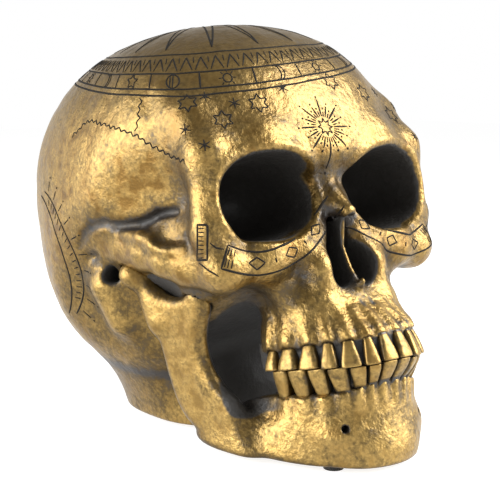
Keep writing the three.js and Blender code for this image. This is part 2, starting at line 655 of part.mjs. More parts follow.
// Felt pads: two under the middle of the jaw's wall beside the chin, and two under the foot beside the plate.
const frontPadAngle = 26 * degrees;
const wallOffset = thick(bodyOffsetShare);
const frontPadX = (bodyBaseShares.halfWidth * half[0] - wallOffset) * Math.sin(frontPadAngle);
const frontPadY = bodyBaseShares.backLine * half[1]
  - (bodyBaseShares.depth * half[1] - wallOffset) * Math.cos(frontPadAngle);
const padPlaces = {
  front: [frontPadX, (frontPadY + (underside - earHeight) * Math.sin(lean)) / Math.cos(lean)],
  rear: [plateRadius + PLATE_TO_FELT + FELT_RADIUS, footY],
};

const gold = { color: 0xb8914a, roughness: 0.42, metalness: 0.85 };
const black = { color: 0x24211f, roughness: 0.8, metalness: 0 };
const felt = { color: 0x1c1c1e, roughness: 1, metalness: 0 };

const group = new THREE.Group();
function addPiece(name, solid, finish) {
  const mesh = new THREE.Mesh(geometryOf(solid), new THREE.MeshStandardMaterial(finish));
  mesh.name = name;
  group.add(mesh);
}

addPiece('cranium_shell', craniumSolid(), gold);
addPiece('lower_jaw', jawSolid(), gold);
addPiece('base_plate', disc(plateRadius, underside, underside + PLATE_THICKNESS), black);
for (const [name, [x, y]] of Object.entries(padPlaces)) {
  for (const [sideName, side] of [['left', 1], ['right', -1]]) {
    addPiece(`felt_pad_${name}_${sideName}`, disc(FELT_RADIUS, 0, FELT_THICKNESS, side * x, y), felt);
  }
}

// The part's origin is on the table, under the middle of its length.
const extent = new THREE.Box3().setFromObject(group);
group.position.y = -(extent.min.y + extent.max.y) / 2;

export default group;
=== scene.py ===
# %% [markdown]
# # A gold skull ornament
# The real thing is a hollow resin casting, painted black and then dry-brushed with gold wax, so that
# black stays in every hollow. The lower jaw is a second casting, glued in with its teeth shut.
# A skull has no straight edge to start from. It is made here as an engineer would make a casting: simple
# solids are joined, met and cut with soft fillets, and a fine net is laid over the result.

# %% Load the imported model
import bmesh
import bpy
import numpy as np
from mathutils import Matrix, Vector


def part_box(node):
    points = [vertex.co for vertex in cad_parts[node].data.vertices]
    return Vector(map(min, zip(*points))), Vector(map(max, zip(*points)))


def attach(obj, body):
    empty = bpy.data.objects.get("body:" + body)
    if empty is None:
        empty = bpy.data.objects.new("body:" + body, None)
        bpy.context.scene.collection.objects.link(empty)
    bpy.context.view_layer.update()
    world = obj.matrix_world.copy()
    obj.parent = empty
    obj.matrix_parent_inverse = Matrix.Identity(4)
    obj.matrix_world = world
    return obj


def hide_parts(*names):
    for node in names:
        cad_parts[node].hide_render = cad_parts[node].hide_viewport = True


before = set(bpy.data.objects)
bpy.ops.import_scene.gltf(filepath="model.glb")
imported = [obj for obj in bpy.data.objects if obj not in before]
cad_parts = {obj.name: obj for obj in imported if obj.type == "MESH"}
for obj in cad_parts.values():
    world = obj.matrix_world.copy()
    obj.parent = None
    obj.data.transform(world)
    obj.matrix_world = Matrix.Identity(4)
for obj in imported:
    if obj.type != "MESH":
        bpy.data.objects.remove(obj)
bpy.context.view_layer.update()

MM = 0.001
print("CAD nodes:", ", ".join(sorted(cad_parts)))

# %% [markdown]
# ## Two frames
# Shapes are easiest to give in the skull's own frame: origin between the ear holes, X to the side,
# the face towards -Y. The skull then leans back a little on its foot, and the CAD model was moved along
# Y to its middle. The round plate under the foot shows how far.

# %% The lean and the place on the table
LEAN = np.radians(14.6)
EAR_HEIGHT = 69.74
FOOT_CENTRE_Y = 3.53
UNDERSIDE = 1.8
plate_low, plate_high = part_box("base_plate")
SHIFT = (plate_low.y + plate_high.y) / 2 / MM - FOOT_CENTRE_Y
COS, SIN = np.cos(LEAN), np.sin(LEAN)


def in_skull(x, y, z):
    """Table frame to skull frame, folded to one side.

    |x|, y cos - u sin, y sin + u cos, where u = z - ear height.
    """
    up = z - EAR_HEIGHT
    return np.abs(x), COS * y - SIN * up, SIN * y + COS * up


def on_table(points):
    """Skull frame to table frame: y cos + z sin, z cos - y sin + ear height."""
    x, y, z = np.moveaxis(np.asarray(points, float), -1, 0)
    return np.stack([x, COS * y + SIN * z, COS * z - SIN * y + EAR_HEIGHT], -1)


print("skull moved along Y by", round(SHIFT, 2), "mm")

# %% [markdown]
# ## Solids as distances
# Each solid is a function that gives the distance to its surface, negative inside. Two of them join by
# the smaller distance, and a soft minimum leaves a fillet, as clay does under a thumb. The number at the
# end of a join, meet or cut is that fillet's width in millimetres.

# %% Joining, meeting and cutting


def join(a, b, width):
    """Both solids with a fillet: min(a, b) - h^2 width / 4, where h = max(width - |a - b|, 0) / width."""
    overlap = np.maximum(width - np.abs(a - b), 0) / width
    return np.minimum(a, b) - overlap * overlap * width / 4


def meet(a, b, width):
    """What both solids share, with a rounded edge."""
    return -join(-a, -b, width)


def cut(a, b, width):
    """The first solid with the second taken out."""
    return -join(-a, b, width)


# %% Ellipsoids, bars and arches
# Added to a sum that is divided by or raised to a power, so that it is never zero.
TINY, SMALL, SLIGHT = 1e-12, 1e-9, 1e-6


def ellipsoid(at, centre, radii, squareness=2.0, tilt=0.0, turn=0.0):
    """(g - 1) / |slope of g|, g = (|x/a|^n + |y/b|^n + |z/c|^n)^(1/n), tilted about X and turned about Z."""
    x, y, z = (value - middle for value, middle in zip(at, centre))
    c, s = np.cos(np.radians(tilt)), np.sin(np.radians(tilt))
    y, z = c * y - s * z, s * y + c * z
    c, s = np.cos(np.radians(turn)), np.sin(np.radians(turn))
    x, y = c * x - s * y, s * x + c * y
    ratios = [np.abs(value / radius) for value, radius in zip((x, y, z), radii)]
    total = sum(ratio ** squareness for ratio in ratios) + TINY
    slopes = [ratio ** (squareness - 1) / radius for ratio, radius in zip(ratios, radii)]
    slope = np.sqrt(sum(one * one for one in slopes)) * total ** (1 / squareness - 1) + SMALL
    return (total ** (1 / squareness) - 1) / slope


def bar(at, start, end, flatness=1.0):
    """Distance to a bar with round ends: |p - a - t (b - a)| - r(t). Each end is x, y, z and radius."""
    along = np.subtract(end[:3], start[:3])
    off = [value - first for value, first in zip(at, start)]
    share = np.clip(sum(o * a for o, a in zip(off, along)) / (along @ along), 0, 1)
    across = [o - share * a for o, a in zip(off, along)]
    across[0] = across[0] / flatness
    return np.sqrt(sum(one * one for one in across)) - (start[3] + share * (end[3] - start[3]))


def chain(at, points, width, flatness=1.0):
    """Bars end to end through a list of points, joined where they meet."""
    bars = [bar(at, start, end, flatness) for start, end in zip(points, points[1:])]
    whole = bars[0]
    for one in bars[1:]:
        whole = join(whole, one, width)
    return whole


def arch(x, y, half_width, back_line, depth, squareness):
    """Distance to a U seen from above: |x/a|^p + |forward/b|^p = 1 before the back line, straight behind."""
    across = np.abs(x) / half_width
    forward = np.maximum(back_line - y, 0) / depth
    total = across ** squareness + forward ** squareness + TINY
    slope = np.hypot(across ** (squareness - 1) / half_width, forward ** (squareness - 1) / depth)
    return (total ** (1 / squareness) - 1) / (slope * total ** (1 / squareness - 1) + SMALL)


def plane(at, normal, point):
    """Signed distance from a plane that runs along X: n_y (y - p_y) + n_z (z - p_z)."""
    return normal[0] * (at[1] - point[0]) + normal[1] * (at[2] - point[1])


# %% [markdown]
# ## The tooth rows
# Everything in the lower face follows two U-shaped rows. Tooth widths are an adult's, from the middle
# outwards. A place beside a row is turned into a tooth number and a share of that tooth, which later
# places the teeth, lifts a rib over each root and scallops the edge of the bone.

# %% Rows and tooth widths
UPPER_ROW = dict(half_width=28.5, back_line=-54.0, depth=45.0)
LOWER_ROW = dict(half_width=26.3, back_line=-54.0, depth=44.0)
UPPER_WIDTHS = [7.6, 6.5, 8.3, 7.2, 9.2, 10.4, 7.0]
LOWER_WIDTHS = [6.9, 5.1, 6.5, 8.1, 8.0, 9.4, 8.2]
ROW_SQUARENESS = 2.4
ROW_POINTS = 400
# A row goes on straight behind its back line for this length.
ROW_TAIL = 30.0
# Heights where the rows meet and where the gums end, one for each edge between teeth, from the middle.
BITE = -51.5
BITE_DROP = [1.2, 1.9, 2.2, 1.5, 0.8, 0.2, -0.3, -0.5]
UPPER_EDGE = [-42.6, -42.9, -43.1, -43.0, -42.8, -42.8, -43.0, -43.2]
LOWER_EDGE = [-60.4, -60.4, -60.9, -62.0, -62.9, -62.9, -62.3, -61.6]


def row_path(row):
    """Points along half a row and their arc lengths: x = a sin^(2/p) t, y = back - b cos^(2/p) t."""
    turn = np.linspace(0, np.pi / 2, ROW_POINTS)
    x = row["half_width"] * np.sin(turn) ** (2 / ROW_SQUARENESS)
    y = row["back_line"] - row["depth"] * np.clip(np.cos(turn), 0, 1) ** (2 / ROW_SQUARENESS)
    lengths = np.concatenate([[0], np.cumsum(np.hypot(np.diff(x), np.diff(y)))])
    return turn, x, y, lengths


def tooth_share(x, y, row, widths):
    """Tooth number and share of its width, 0 to 1, at a place beside the row, from the arc length there."""
    turn, _, _, lengths = row_path(row)
    power = ROW_SQUARENESS / 2
    forward = np.maximum(row["back_line"] - y, 0) / row["depth"]
    angle = np.arctan2((x / row["half_width"]) ** power, forward ** power)
    arc = np.interp(angle, turn, lengths) + np.maximum(y - row["back_line"], 0)
    edges = np.concatenate([[0], np.cumsum(widths)])
    place = np.interp(arc, edges, np.arange(len(edges)))
    return place, place - np.floor(place)


def along_row(place, heights):
    """A height that changes from tooth to tooth, interpolated between the tooth numbers."""
    return np.interp(place, np.arange(len(heights)), heights)


def bite_level(place):
    """The height where the two rows meet."""
    return BITE - along_row(place, BITE_DROP)


def outside_row(at, row):
    """Distance outside a row, negative towards the tongue."""
    return arch(at[0], at[1], **row, squareness=ROW_SQUARENESS)


print("upper row, one side:", round(sum(UPPER_WIDTHS), 1), "mm; lower:", round(sum(LOWER_WIDTHS), 1), "mm")

# %% [markdown]
# ## The cranium's shape
# The vault is one boxy ellipsoid, hollowed at the temples and round the ears. Bars of the right
# thickness make the brow, the sides of the eye sockets, the cheekbones and their arches, and the bridge
# of the nose. The sockets are cut last, with a rolled rim of 1.4 mm where the sculptor turned the clay.

# %% Measures of the vault
VAULT = dict(centre=(0, -0.8, 23.6), radii=(73.4, 83.8, 78.0), squareness=2.5, tilt=-3)
TEMPLE = dict(centre=(92, -55, 7), radii=(35, 38.5, 40))
EAR_HOLLOW = dict(centre=(96, -8, -22), radii=(38, 40, 38))
JAW_HOLLOW = dict(centre=(82, -28, -38), radii=(41, 28, 38))
EAR_RECESS = dict(centre=(71, 1, 6.5), radii=(6, 4.5, 2.2))
MASTOID = [(60, 2, -6, 8), (56.5, 1, -21, 6.2)]
EAR_HOLE = [(82, -12, -3, 3.5), (50, -2, -2, 3.5)]
SKULL_BASE = dict(slope=np.radians(64.3), point=(-56, -17.6), raised=2.2)
# In front of this place and below this height the face takes over from the vault.
FOREHEAD_END = dict(front=-66, below=29)
FOOT = dict(centre=(0, FOOT_CENTRE_Y, 9), radii=(40, 38.8, 27), squareness=2.6)
PLATE_POCKET = dict(radius=16.4, top=4.5)

# %% Measures of the face
ORBIT = dict(centre=(30.6, -72, 16.2), radii=(21.3, 38, 16.9), squareness=2.2, turn=-8)
NOSE_LOBE = dict(centre=(5.6, -86, -13.8), radii=(6.4, 26, 9.4))
NOSE_TOP = dict(centre=(0, -88, -6.0), radii=(4.2, 26, 11.4))
BROW = [(8, -75, 34, 7), (29, -75.5, 37, 6), (49.8, -69.6, 34, 5.5)]
ORBIT_SIDE = [(52.7, -69.5, 34, 6.6), (54.7, -67.8, 6, 6.8)]
TEMPLE_RIDGE = [(50.8, -67.8, 35, 6.1), (50.6, -61, 50, 6.2), (47.5, -50, 62, 5.2)]
CHEEK = [(52.3, -67, 2, 6), (50.5, -68, -9, 8), (34, -73, -8, 6.5), (20, -76, -6, 6)]
CHEEK_ROOT = [(36, -70, -9, 6), (25, -69.5, -18, 5), (20, -75, -30, 6)]
NOSE_SIDE = [
    (4.8, -65.4, 26, 4.3), (7.3, -68.8, 14, 3.9), (9.5, -75, 2, 3.7), (14, -80.2, -14, 4.6),
    (15, -79.6, -28, 5.6),
]
NOSE_BRIDGE = [(0, -76.2, 32, 7.2), (0, -74.6, 20, 3.9), (0, -79.2, 12, 3.8), (0, -86.8, 6.4, 3.2)]
SPINE = [(0, -82, -26, 3.2), (0, -88.6, -21.5, 1.1)]
CHEEK_ARCH = [
    (51, -64, -9, 7), (57, -52, -5, 6.2), (60.5, -42, -1, 5.4), (61.5, -30, 3.5, 5.2), (61, -16, 8, 5.2),
    (62, -2, 11, 4.6), (65, 9, 14, 3.2),
]
ARCH_FLOOR = dict(centre=(49, -34, 6), radii=(14, 30, 6.5), tilt=8)
ARCH_RIDGE = [
    (64.8, -24, 12.4, 0.8), (64.4, -34.9, 9.2, 2.0), (64.0, -43, 5.2, 2.3), (62.2, -49.2, 2.2, 2.3),
    (58.8, -56, 0.6, 1.6),
]
TEMPLE_GROOVE = [
    (69.8, 6.2, 11.6, 0.7), (70.8, -1.2, 15.7, 1.3), (71, -9.1, 18.3, 1.6), (69.4, -16.2, 18.3, 1.6),
    (66.8, -21.1, 16.1, 1.6), (62.2, -32.1, 14.8, 1.6), (60.1, -36.7, 15.6, 1.6), (57.8, -41.1, 17.1, 1.6),
    (56.2, -50, 16.5, 1.2),
]
ORBIT_BACK = dict(centre=(64, -53, 10), radii=(5.5, 9, 7))
SEPTUM_HALF = 0.75
SEPTUM_BACK = -62.0
SEPTUM_HEIGHTS = [-24.5, -19.4, -14.0, -5.9, 0.3, 5.0]
SEPTUM_EDGE = [-86.5, -85.2, -82.7, -80.7, -82.2, -84.0]
SEPTUM_TOP, SEPTUM_BOTTOM = 5, -25
PIT = dict(centre=(2.4, -90.6, -27.8), radii=(1.3, 2.6, 3.6))
RIM = dict(height=1.4, outside=2.6, half_width=2.4)


def orbit(at):
    """The hollow of an eye socket."""
    return ellipsoid(at, **ORBIT)


def nose(at):
    """The pear-shaped nose opening: a low lobe on each side and a narrow top."""
    return join(ellipsoid(at, **NOSE_LOBE), ellipsoid(at, **NOSE_TOP), 5)


# %% Ribs, scallops and the wall behind the teeth
UPPER_GUM, LOWER_GUM = -44, -60
MOUTH_BACK = -52.0
WALL_HALF, WALL_GAP = 2.2, 0.25
UPPER_WALL = dict(inside=2.6, top=-40)
LOWER_WALL = dict(inside=5.7, bottom=-66)


def root_rib(share, past_gum, height, length, fade):
    """A swelling over each root: height cos(2 pi (s - 1/2)) (1 - past gum / length)^fade."""
    return height * np.cos(2 * np.pi * (share - 0.5)) * np.clip(1 - past_gum / length, 0, 1) ** fade


def scallop(share):
    """How the gum's edge bends between two teeth: |2s - 1|^1.7 - 0.2."""
    return np.abs(2 * share - 1) ** 1.7 - 0.2


def wall_behind(at, row, inside, ends):
    """A thin wall that closes the mouth behind a row: |distance + inside| - half, between its ends."""
    wall = np.maximum(np.abs(outside_row(at, row) + inside) - WALL_HALF, ends)
    return np.maximum(wall, at[1] - MOUTH_BACK)


# %% The upper jaw bone
UPPER_BONE = dict(half_width=30.0, depth=45.8, top=-8.0, outside=0.9)
UPPER_TAPER = dict(slope=0.6, reach=20)
UPPER_RIB = dict(height=1.15, length=18, fade=1.1)
UPPER_SCALLOP = 2.0


def waist(z):
    """How far the bone is drawn in above the roots: 0.3 a + 0.011 b^2, a from -39 and b from -34 upwards."""
    return 0.3 * np.clip(z + 39, 0, 9) + 0.011 * np.clip(z + 34, 0, 40) ** 2


def upper_bone(at):
    """A filled U, drawn in higher up, ribbed over each root, its lower edge hanging between the teeth."""
    x, y, z = at
    place, share = tooth_share(x, y, UPPER_ROW, UPPER_WIDTHS)
    depth = UPPER_BONE["depth"] - UPPER_TAPER["slope"] * np.clip(z - UPPER_GUM, 0, UPPER_TAPER["reach"])
    plan = arch(x, y, UPPER_BONE["half_width"], UPPER_ROW["back_line"], depth, ROW_SQUARENESS)
    rib = root_rib(share, z - UPPER_GUM, **UPPER_RIB)
    edge = along_row(place, UPPER_EDGE) - UPPER_SCALLOP * scallop(share)
    bone = meet(plan + waist(z) - rib - UPPER_BONE["outside"], z - UPPER_BONE["top"], 5)
    bone = meet(bone, edge - z, 1.5)
    bone = meet(bone, y - MOUTH_BACK, 9)
    ends = np.maximum(bite_level(place) + WALL_GAP - z, z - UPPER_WALL["top"])
    return np.minimum(bone, wall_behind(at, UPPER_ROW, UPPER_WALL["inside"], ends))


# %% The face and the braincase
# The bars of the face in order, with the fillet inside each group and the fillet to what came before.
FACE_GROUPS = [
    (ORBIT_SIDE, 8, 8), (TEMPLE_RIDGE, 6, 10), (CHEEK, 6, 8), (CHEEK_ROOT, 6, 7), (NOSE_SIDE, 6, 6),
    (NOSE_BRIDGE, 6, 8),
]
# The hollows of the braincase, with the fillet round each.
BRAINCASE_HOLLOWS = [(TEMPLE, 18), (EAR_HOLLOW, 20), (JAW_HOLLOW, 8)]


def face(at):
    """The bony frame of the face, from the brow down to the tooth sockets, before anything is cut."""
    whole = chain(at, BROW, 8)
    for bars, inner_fillet, outer_fillet in FACE_GROUPS:
        whole = join(whole, chain(at, bars, inner_fillet), outer_fillet)
    whole = join(whole, upper_bone(at), 7)
    return join(whole, bar(at, *SPINE), 3)


def braincase(at):
    """The vault: an ellipsoid less its sloping underside, the temples, and the hollows by ear and jaw."""
    _, y, z = at
    slope = SKULL_BASE["slope"]
    under = plane(at, (-np.cos(slope), -np.sin(slope)), SKULL_BASE["point"]) - SKULL_BASE["raised"]
    whole = meet(ellipsoid(at, **VAULT), under, 13)
    whole = meet(whole, join(FOREHEAD_END["front"] - y, FOREHEAD_END["below"] - z, 6), 8)
    for hollow, fillet in BRAINCASE_HOLLOWS:
        whole = cut(whole, ellipsoid(at, **hollow), fillet)
    return join(whole, bar(at, *MASTOID), 8)


def septum(at):
    """A thin wall in the middle of the nose, behind an edge that runs back and down."""
    x, y, z = at
    edge = np.interp(z, SEPTUM_HEIGHTS, SEPTUM_EDGE)
    wall = np.maximum(np.maximum(x - SEPTUM_HALF, edge - y), np.maximum(z - SEPTUM_TOP, SEPTUM_BOTTOM - z))
    return np.maximum(wall, y - SEPTUM_BACK)


# %% The whole cranium
ARCH_FLATNESS = 0.7
JAW_GAP = 0.45
BASE_EDGE = 1.2


def cranium(x, y, z):
    """The upper casting in the table frame: braincase, face, cheek arch and foot, less every hole."""
    at = in_skull(x, y, z)
    whole = join(braincase(at), face(at), 9)
    whole = join(whole, chain(at, CHEEK_ARCH, 6, ARCH_FLATNESS), 5)
    whole = join(whole, ellipsoid(at, **ARCH_FLOOR), 6)
    whole = join(whole, chain(at, ARCH_RIDGE, 1.5), 3.5)
    whole = cut(whole, chain(at, TEMPLE_GROOVE, 1.0), 2)
    whole = cut(whole, ellipsoid(at, **ORBIT_BACK), 3)
    socket = orbit(at)
    whole = whole - RIM["height"] * np.exp(-((socket - RIM["outside"]) / RIM["half_width"]) ** 2)
    whole = cut(whole, socket, 1.6)
    whole = cut(whole, nose(at), 1.2)
    whole = join(whole, septum(at), 1.0)
    whole = cut(whole, bar(at, *EAR_HOLE), 1.5)
    whole = cut(whole, ellipsoid(at, **EAR_RECESS), 3)
    whole = cut(whole, ellipsoid(at, **PIT), 1.2)
    whole = join(whole, ellipsoid((x, y, z), **FOOT), 21)
    whole = cut(whole, ramus(at) - JAW_GAP, 0.6)
    whole = meet(whole, UNDERSIDE - z, BASE_EDGE)
    pocket = np.maximum(np.hypot(x, y - FOOT_CENTRE_Y) - PLATE_POCKET["radius"], z - PLATE_POCKET["top"])
    return np.maximum(whole, -pocket)


# %% [markdown]
# ## The lower jaw's shape
# The body is a U that widens from the tooth row down to the base, with the chin and its two corners
# added. The ramus behind it is a leaning plate, 8 mm thick, which ends above in the condyle and the
# coronoid with a notch between them.

# %% Measures of the jaw
RECESS = dict(centre=(38.5, -58, -51.5), radii=(9.5, 15, 19.5), squareness=2.6)
CHIN = dict(centre=(0, -83.5, -86), radii=(16, 9, 8.5))
CHIN_SIDE = dict(centre=(14, -79.2, -78.5), radii=(10.2, 8.6, 7.5))
NOTCH = dict(centre=(0, -36, -4), radii=(10, 12.5, 12.5), squareness=2.2, tilt=-28)
FRONT_CURVE = dict(centre=(0, -62, -42), radii=(10, 20.6, 21.5))
NECK = [(56, -17.5, -4, 4.6), (52, -22, -24, 5.5)]
CONDYLE = [(60, -16, -4, 4.6), (50, -15, -6, 4.6)]
MENTAL_HOLE = [(21.5, -92, -77.2, 1.5), (18.5, -84, -76, 1.5)]
RAMUS_PLANE = dict(offset=48, y=-30, z=-40, splay=0.17, lean=0.18)
RAMUS_HALF = dict(top=3.5, growth=0.015, start=-10, reach=60)
RAMUS_REAR = dict(y=-18.2, z=-30, lean=0.06)
RAMUS_FRONT, RAMUS_TOP = -50, -12
RAMUS_FOOT = dict(z=-69.5, slope=0.3)
JAW_REAR = -7


def before_rear(y):
    """How far in front of the jaw's rear corner."""
    return np.clip(JAW_REAR - y, 0, 200)


# %% The ramus


def ramus_middle(at):
    """How far outside the ramus's middle plane: x - (48 + 0.17 (y + 30) + 0.18 (z + 40))."""
    x, y, z = at
    splay = RAMUS_PLANE["splay"] * (y - RAMUS_PLANE["y"])
    lean = RAMUS_PLANE["lean"] * (z - RAMUS_PLANE["z"])
    return x - (RAMUS_PLANE["offset"] + splay + lean)


def ramus(at):
    """The leaning plate behind the teeth, cut by the notch above and by its own curved front edge."""
    x, y, z = at
    from_side = (0 * x, y, z)
    thicker = np.clip(-z + RAMUS_HALF["start"], 0, RAMUS_HALF["reach"])
    half = RAMUS_HALF["top"] + RAMUS_HALF["growth"] * thicker
    rear = y - RAMUS_REAR["y"] + RAMUS_REAR["lean"] * (z - RAMUS_REAR["z"])
    foot = RAMUS_FOOT["z"] - RAMUS_FOOT["slope"] * before_rear(y) - z
    plate = meet(rear, RAMUS_FRONT - y, 5)
    plate = cut(plate, ellipsoid(from_side, **FRONT_CURVE), 3)
    plate = meet(plate, z - RAMUS_TOP, 6)
    plate = meet(plate, meet(rear, foot, 26), 4)
    plate = cut(plate, ellipsoid(from_side, **NOTCH), 3)
    plate = meet(plate, np.abs(ramus_middle(at)) - half, 5)
    return join(join(plate, bar(at, *NECK), 5), bar(at, *CONDYLE), 6)


# %% The jaw's body
BODY_TOP = -59.0
BODY_BOTTOM = dict(z=-71, slope=0.28)
BODY_FLARE = 1.4
# Half width, back line, depth and squareness of the U at its top, and how each changes down to the base.
BODY_PLAN = [(26.6, 16.4), (-52, 46), (39.4, 39.1), (2.25, -0.15)]
BODY_WALL = dict(inside=1.5, half=5.5, above=4)
BASE_RISE = dict(start=-75, slope=0.11, reach=60, below=0.8)
BODY_END = dict(normal=(0.469, 0.883), point=(-44, -57))
LOWER_RIB = dict(height=0.8, length=13, fade=1.3)
LOWER_SCALLOP = 1.1


def jaw_body(at, height):
    """The wall along the U, ribbed under each tooth, from the gum's edge down to the base on the table."""
    x, y, z = at
    place, share = tooth_share(x, y, LOWER_ROW, LOWER_WIDTHS)
    bottom = BODY_BOTTOM["z"] - BODY_BOTTOM["slope"] * before_rear(y)
    down = np.clip((BODY_TOP - z) / (BODY_TOP - bottom), 0, 1) ** BODY_FLARE
    plan = arch(x, y, *(first + change * down for first, change in BODY_PLAN))
    rib = root_rib(share, LOWER_GUM - z, **LOWER_RIB)
    rise = BASE_RISE["slope"] * np.clip(y - BASE_RISE["start"], 0, BASE_RISE["reach"])
    base = rise - BASE_RISE["below"] - height
    wall = np.abs(plan + BODY_WALL["inside"]) - BODY_WALL["half"] - rib
    wall = meet(wall, np.maximum(z - BODY_TOP - BODY_WALL["above"], base), 6)
    gum = along_row(place, LOWER_EDGE) + LOWER_SCALLOP * scallop(share)
    wall = meet(wall, z - gum, 1.2)
    body = meet(wall, plane(at, **BODY_END), 8)
    ends = np.maximum(z - bite_level(place) + WALL_GAP, LOWER_WALL["bottom"] - z)
    return np.minimum(body, wall_behind(at, LOWER_ROW, LOWER_WALL["inside"], ends))


def lower_jaw(x, y, z):
    """The lower casting in the table frame: body, chin and ramus, less the recess and the nerve's hole."""
    at = in_skull(x, y, z)
    whole = cut(jaw_body(at, z), ellipsoid(at, **RECESS), 3)
    whole = join(whole, ellipsoid(at, **CHIN), 10)
    whole = join(whole, ellipsoid(at, **CHIN_SIDE), 6)
    whole = join(whole, ramus(at), 9)
    whole = cut(whole, bar(at, *MENTAL_HOLE), 0.8)
    return meet(whole, UNDERSIDE - z, BASE_EDGE)


# %% [markdown]
# ## Laying a net over a solid
# The distance is worked out on a grid of lines, close together on the face and wider at the smooth back
# of the head. Every cell that the surface passes through gets one point, and neighbours are joined by
# quads: this is the method called surface nets. Each point is then moved onto the surface itself along
# the slope. Only one half is made, and its mirror image closes it on the middle plane.

# %% Sampling the distance
BLOCK = 4
BAND = 4.5
PART = 200_000


def in_parts(field, at):
    """The field at many points, a part at a time to spare memory."""
    count = len(at[0])
    parts = [field(*(one[first:first + PART] for one in at)) for first in range(0, count, PART)]
    return np.concatenate(parts)


def sample(field, lines):
    """Every fourth line is worked out and the rest interpolated, but near the surface the field is used."""
    rough_lines = [np.append(one[:-1:BLOCK], one[-1]) for one in lines]
    mesh = np.meshgrid(*rough_lines, indexing="ij")
    values = in_parts(field, [one.ravel() for one in mesh]).reshape(mesh[0].shape)
    for axis, (rough, fine) in enumerate(zip(rough_lines, lines)):
        step = np.searchsorted(rough, fine, side="right") - 1
        step = np.clip(step, 0, len(rough) - 2)
        share = (fine - rough[step]) / (rough[step + 1] - rough[step])
        share = share.reshape([-1 if one == axis else 1 for one in range(3)])
        values = np.take(values, step, axis) * (1 - share) + np.take(values, step + 1, axis) * share
    close = np.abs(values) < BAND
    places = np.nonzero(close)
    values[close] = in_parts(field, [line[place] for line, place in zip(lines, places)])
    return values


# %% The net


def net_points(values, lines, cells, corners):
    """The mean of the places where the surface crosses a cell's edges: a + (b - a) f(a) / (f(a) - f(b))."""
    total = np.zeros((len(cells[0]), 3))
    crossed = np.zeros(len(cells[0]))
    for axis in range(3):
        for corner in (one for one in corners if one[axis] == 0):
            low = [cell + step for cell, step in zip(cells, corner)]
            high = list(low)
            high[axis] = high[axis] + 1
            a, b = values[tuple(low)], values[tuple(high)]
            hit = (a < 0) != (b < 0)
            share = np.where(hit, a / np.where(hit, a - b, 1), 0)
            ends = [[line[step] for line, step in zip(lines, end)] for end in (low, high)]
            for one in range(3):
                total[:, one] += hit * (ends[0][one] + share * (ends[1][one] - ends[0][one]))
            crossed += hit
    return total / crossed[:, None]


def net_quads(inside, number):
    """A quad of the four cells round every grid edge that has one end inside."""
    quads = []
    for axis in range(3):
        second, third = (axis + 1) % 3, (axis + 2) % 3
        keep = [slice(1, size - 1) for size in inside.shape]
        keep[axis] = slice(None)
        grid = inside[tuple(keep)]
        low = np.take(grid, range(grid.shape[axis] - 1), axis)
        high = np.take(grid, range(1, grid.shape[axis]), axis)
        for start_inside in (True, False):
            edges = np.array(np.nonzero((low == start_inside) & (high != start_inside)))
            edges[[second, third]] += 1
            ring = []
            for back in ((1, 1), (0, 1), (0, 0), (1, 0)):
                cell = edges.copy()
                cell[second] -= back[0]
                cell[third] -= back[1]
                ring.append(number[tuple(cell)])
            quads.append(np.stack(ring if start_inside else ring[::-1], 1))
    return np.concatenate(quads)


def net(values, lines):
    """Surface nets: a point in each cell that the surface crosses, quads, and which points are mid-plane."""
    inside = values < 0
    size = np.array(values.shape) - 1
    corners = list(np.ndindex(2, 2, 2))
    parts = [inside[i:i + size[0], j:j + size[1], k:k + size[2]] for i, j, k in corners]
    count = sum(part.astype(np.int8) for part in parts)
    cells = np.nonzero((count > 0) & (count < len(corners)))
    number = np.full(size, -1)
    number[cells] = np.arange(len(cells[0]))
    return net_points(values, lines, cells, corners), net_quads(inside, number), cells[0] == 0


# %% Settling on the surface and mirroring
PROBE = 0.08
NEWTON_STEPS, LONGEST_STEP = 2, 0.8


def slope_at(field, points):
    """Slope of the field along X, Y and Z, from differences over a probe's length each way."""
    slope = np.zeros_like(points)
    for axis in range(3):
        step = np.zeros(3)
        step[axis] = PROBE
        slope[:, axis] = in_parts(field, (points + step).T) - in_parts(field, (points - step).T)
    return slope / (2 * PROBE)


def settle(field, points, middle):
    """Two Newton steps, p - f n / |slope|, then the unit normals. Points on the middle plane stay on it."""
    slope = slope_at(field, points)
    size = np.linalg.norm(slope, axis=1, keepdims=True) + SLIGHT
    for _ in range(NEWTON_STEPS):
        move = in_parts(field, points.T)[:, None] / size
        points = points - np.clip(move, -LONGEST_STEP, LONGEST_STEP) * slope / size
    points[middle, 0] = 0
    return points, slope / size


def mirrored(points, normals, quads, middle):
    """Both halves as one closed surface: the middle points are shared, and the copy's quads turn round."""
    other = np.nonzero(~middle)[0]
    flip = np.array([-1, 1, 1])
    number = np.arange(len(points))
    number[other] = len(points) + np.arange(len(other))
    both = np.concatenate([points, points[other] * flip])
    normals = np.concatenate([normals, normals[other] * flip])
    return both, normals, np.concatenate([quads, number[quads][:, ::-1]])


def spaced(*stretches):
    """Grid lines from stretches of (start, end, spacing)."""
    parts = [np.arange(start, end, spacing) for start, end, spacing in stretches]
    return np.concatenate(parts + [[stretches[-1][1]]])


def cast(field, lines):
    """Points, normals and quads of one half of a solid, mirrored to the whole."""
    points, quads, middle = net(sample(field, lines), lines)
    points, normals = settle(field, points, middle)
    return mirrored(points, normals, quads, middle)


# %% Cast both halves of the ornament
FINE, JAW_FINE = 1.07, 0.85
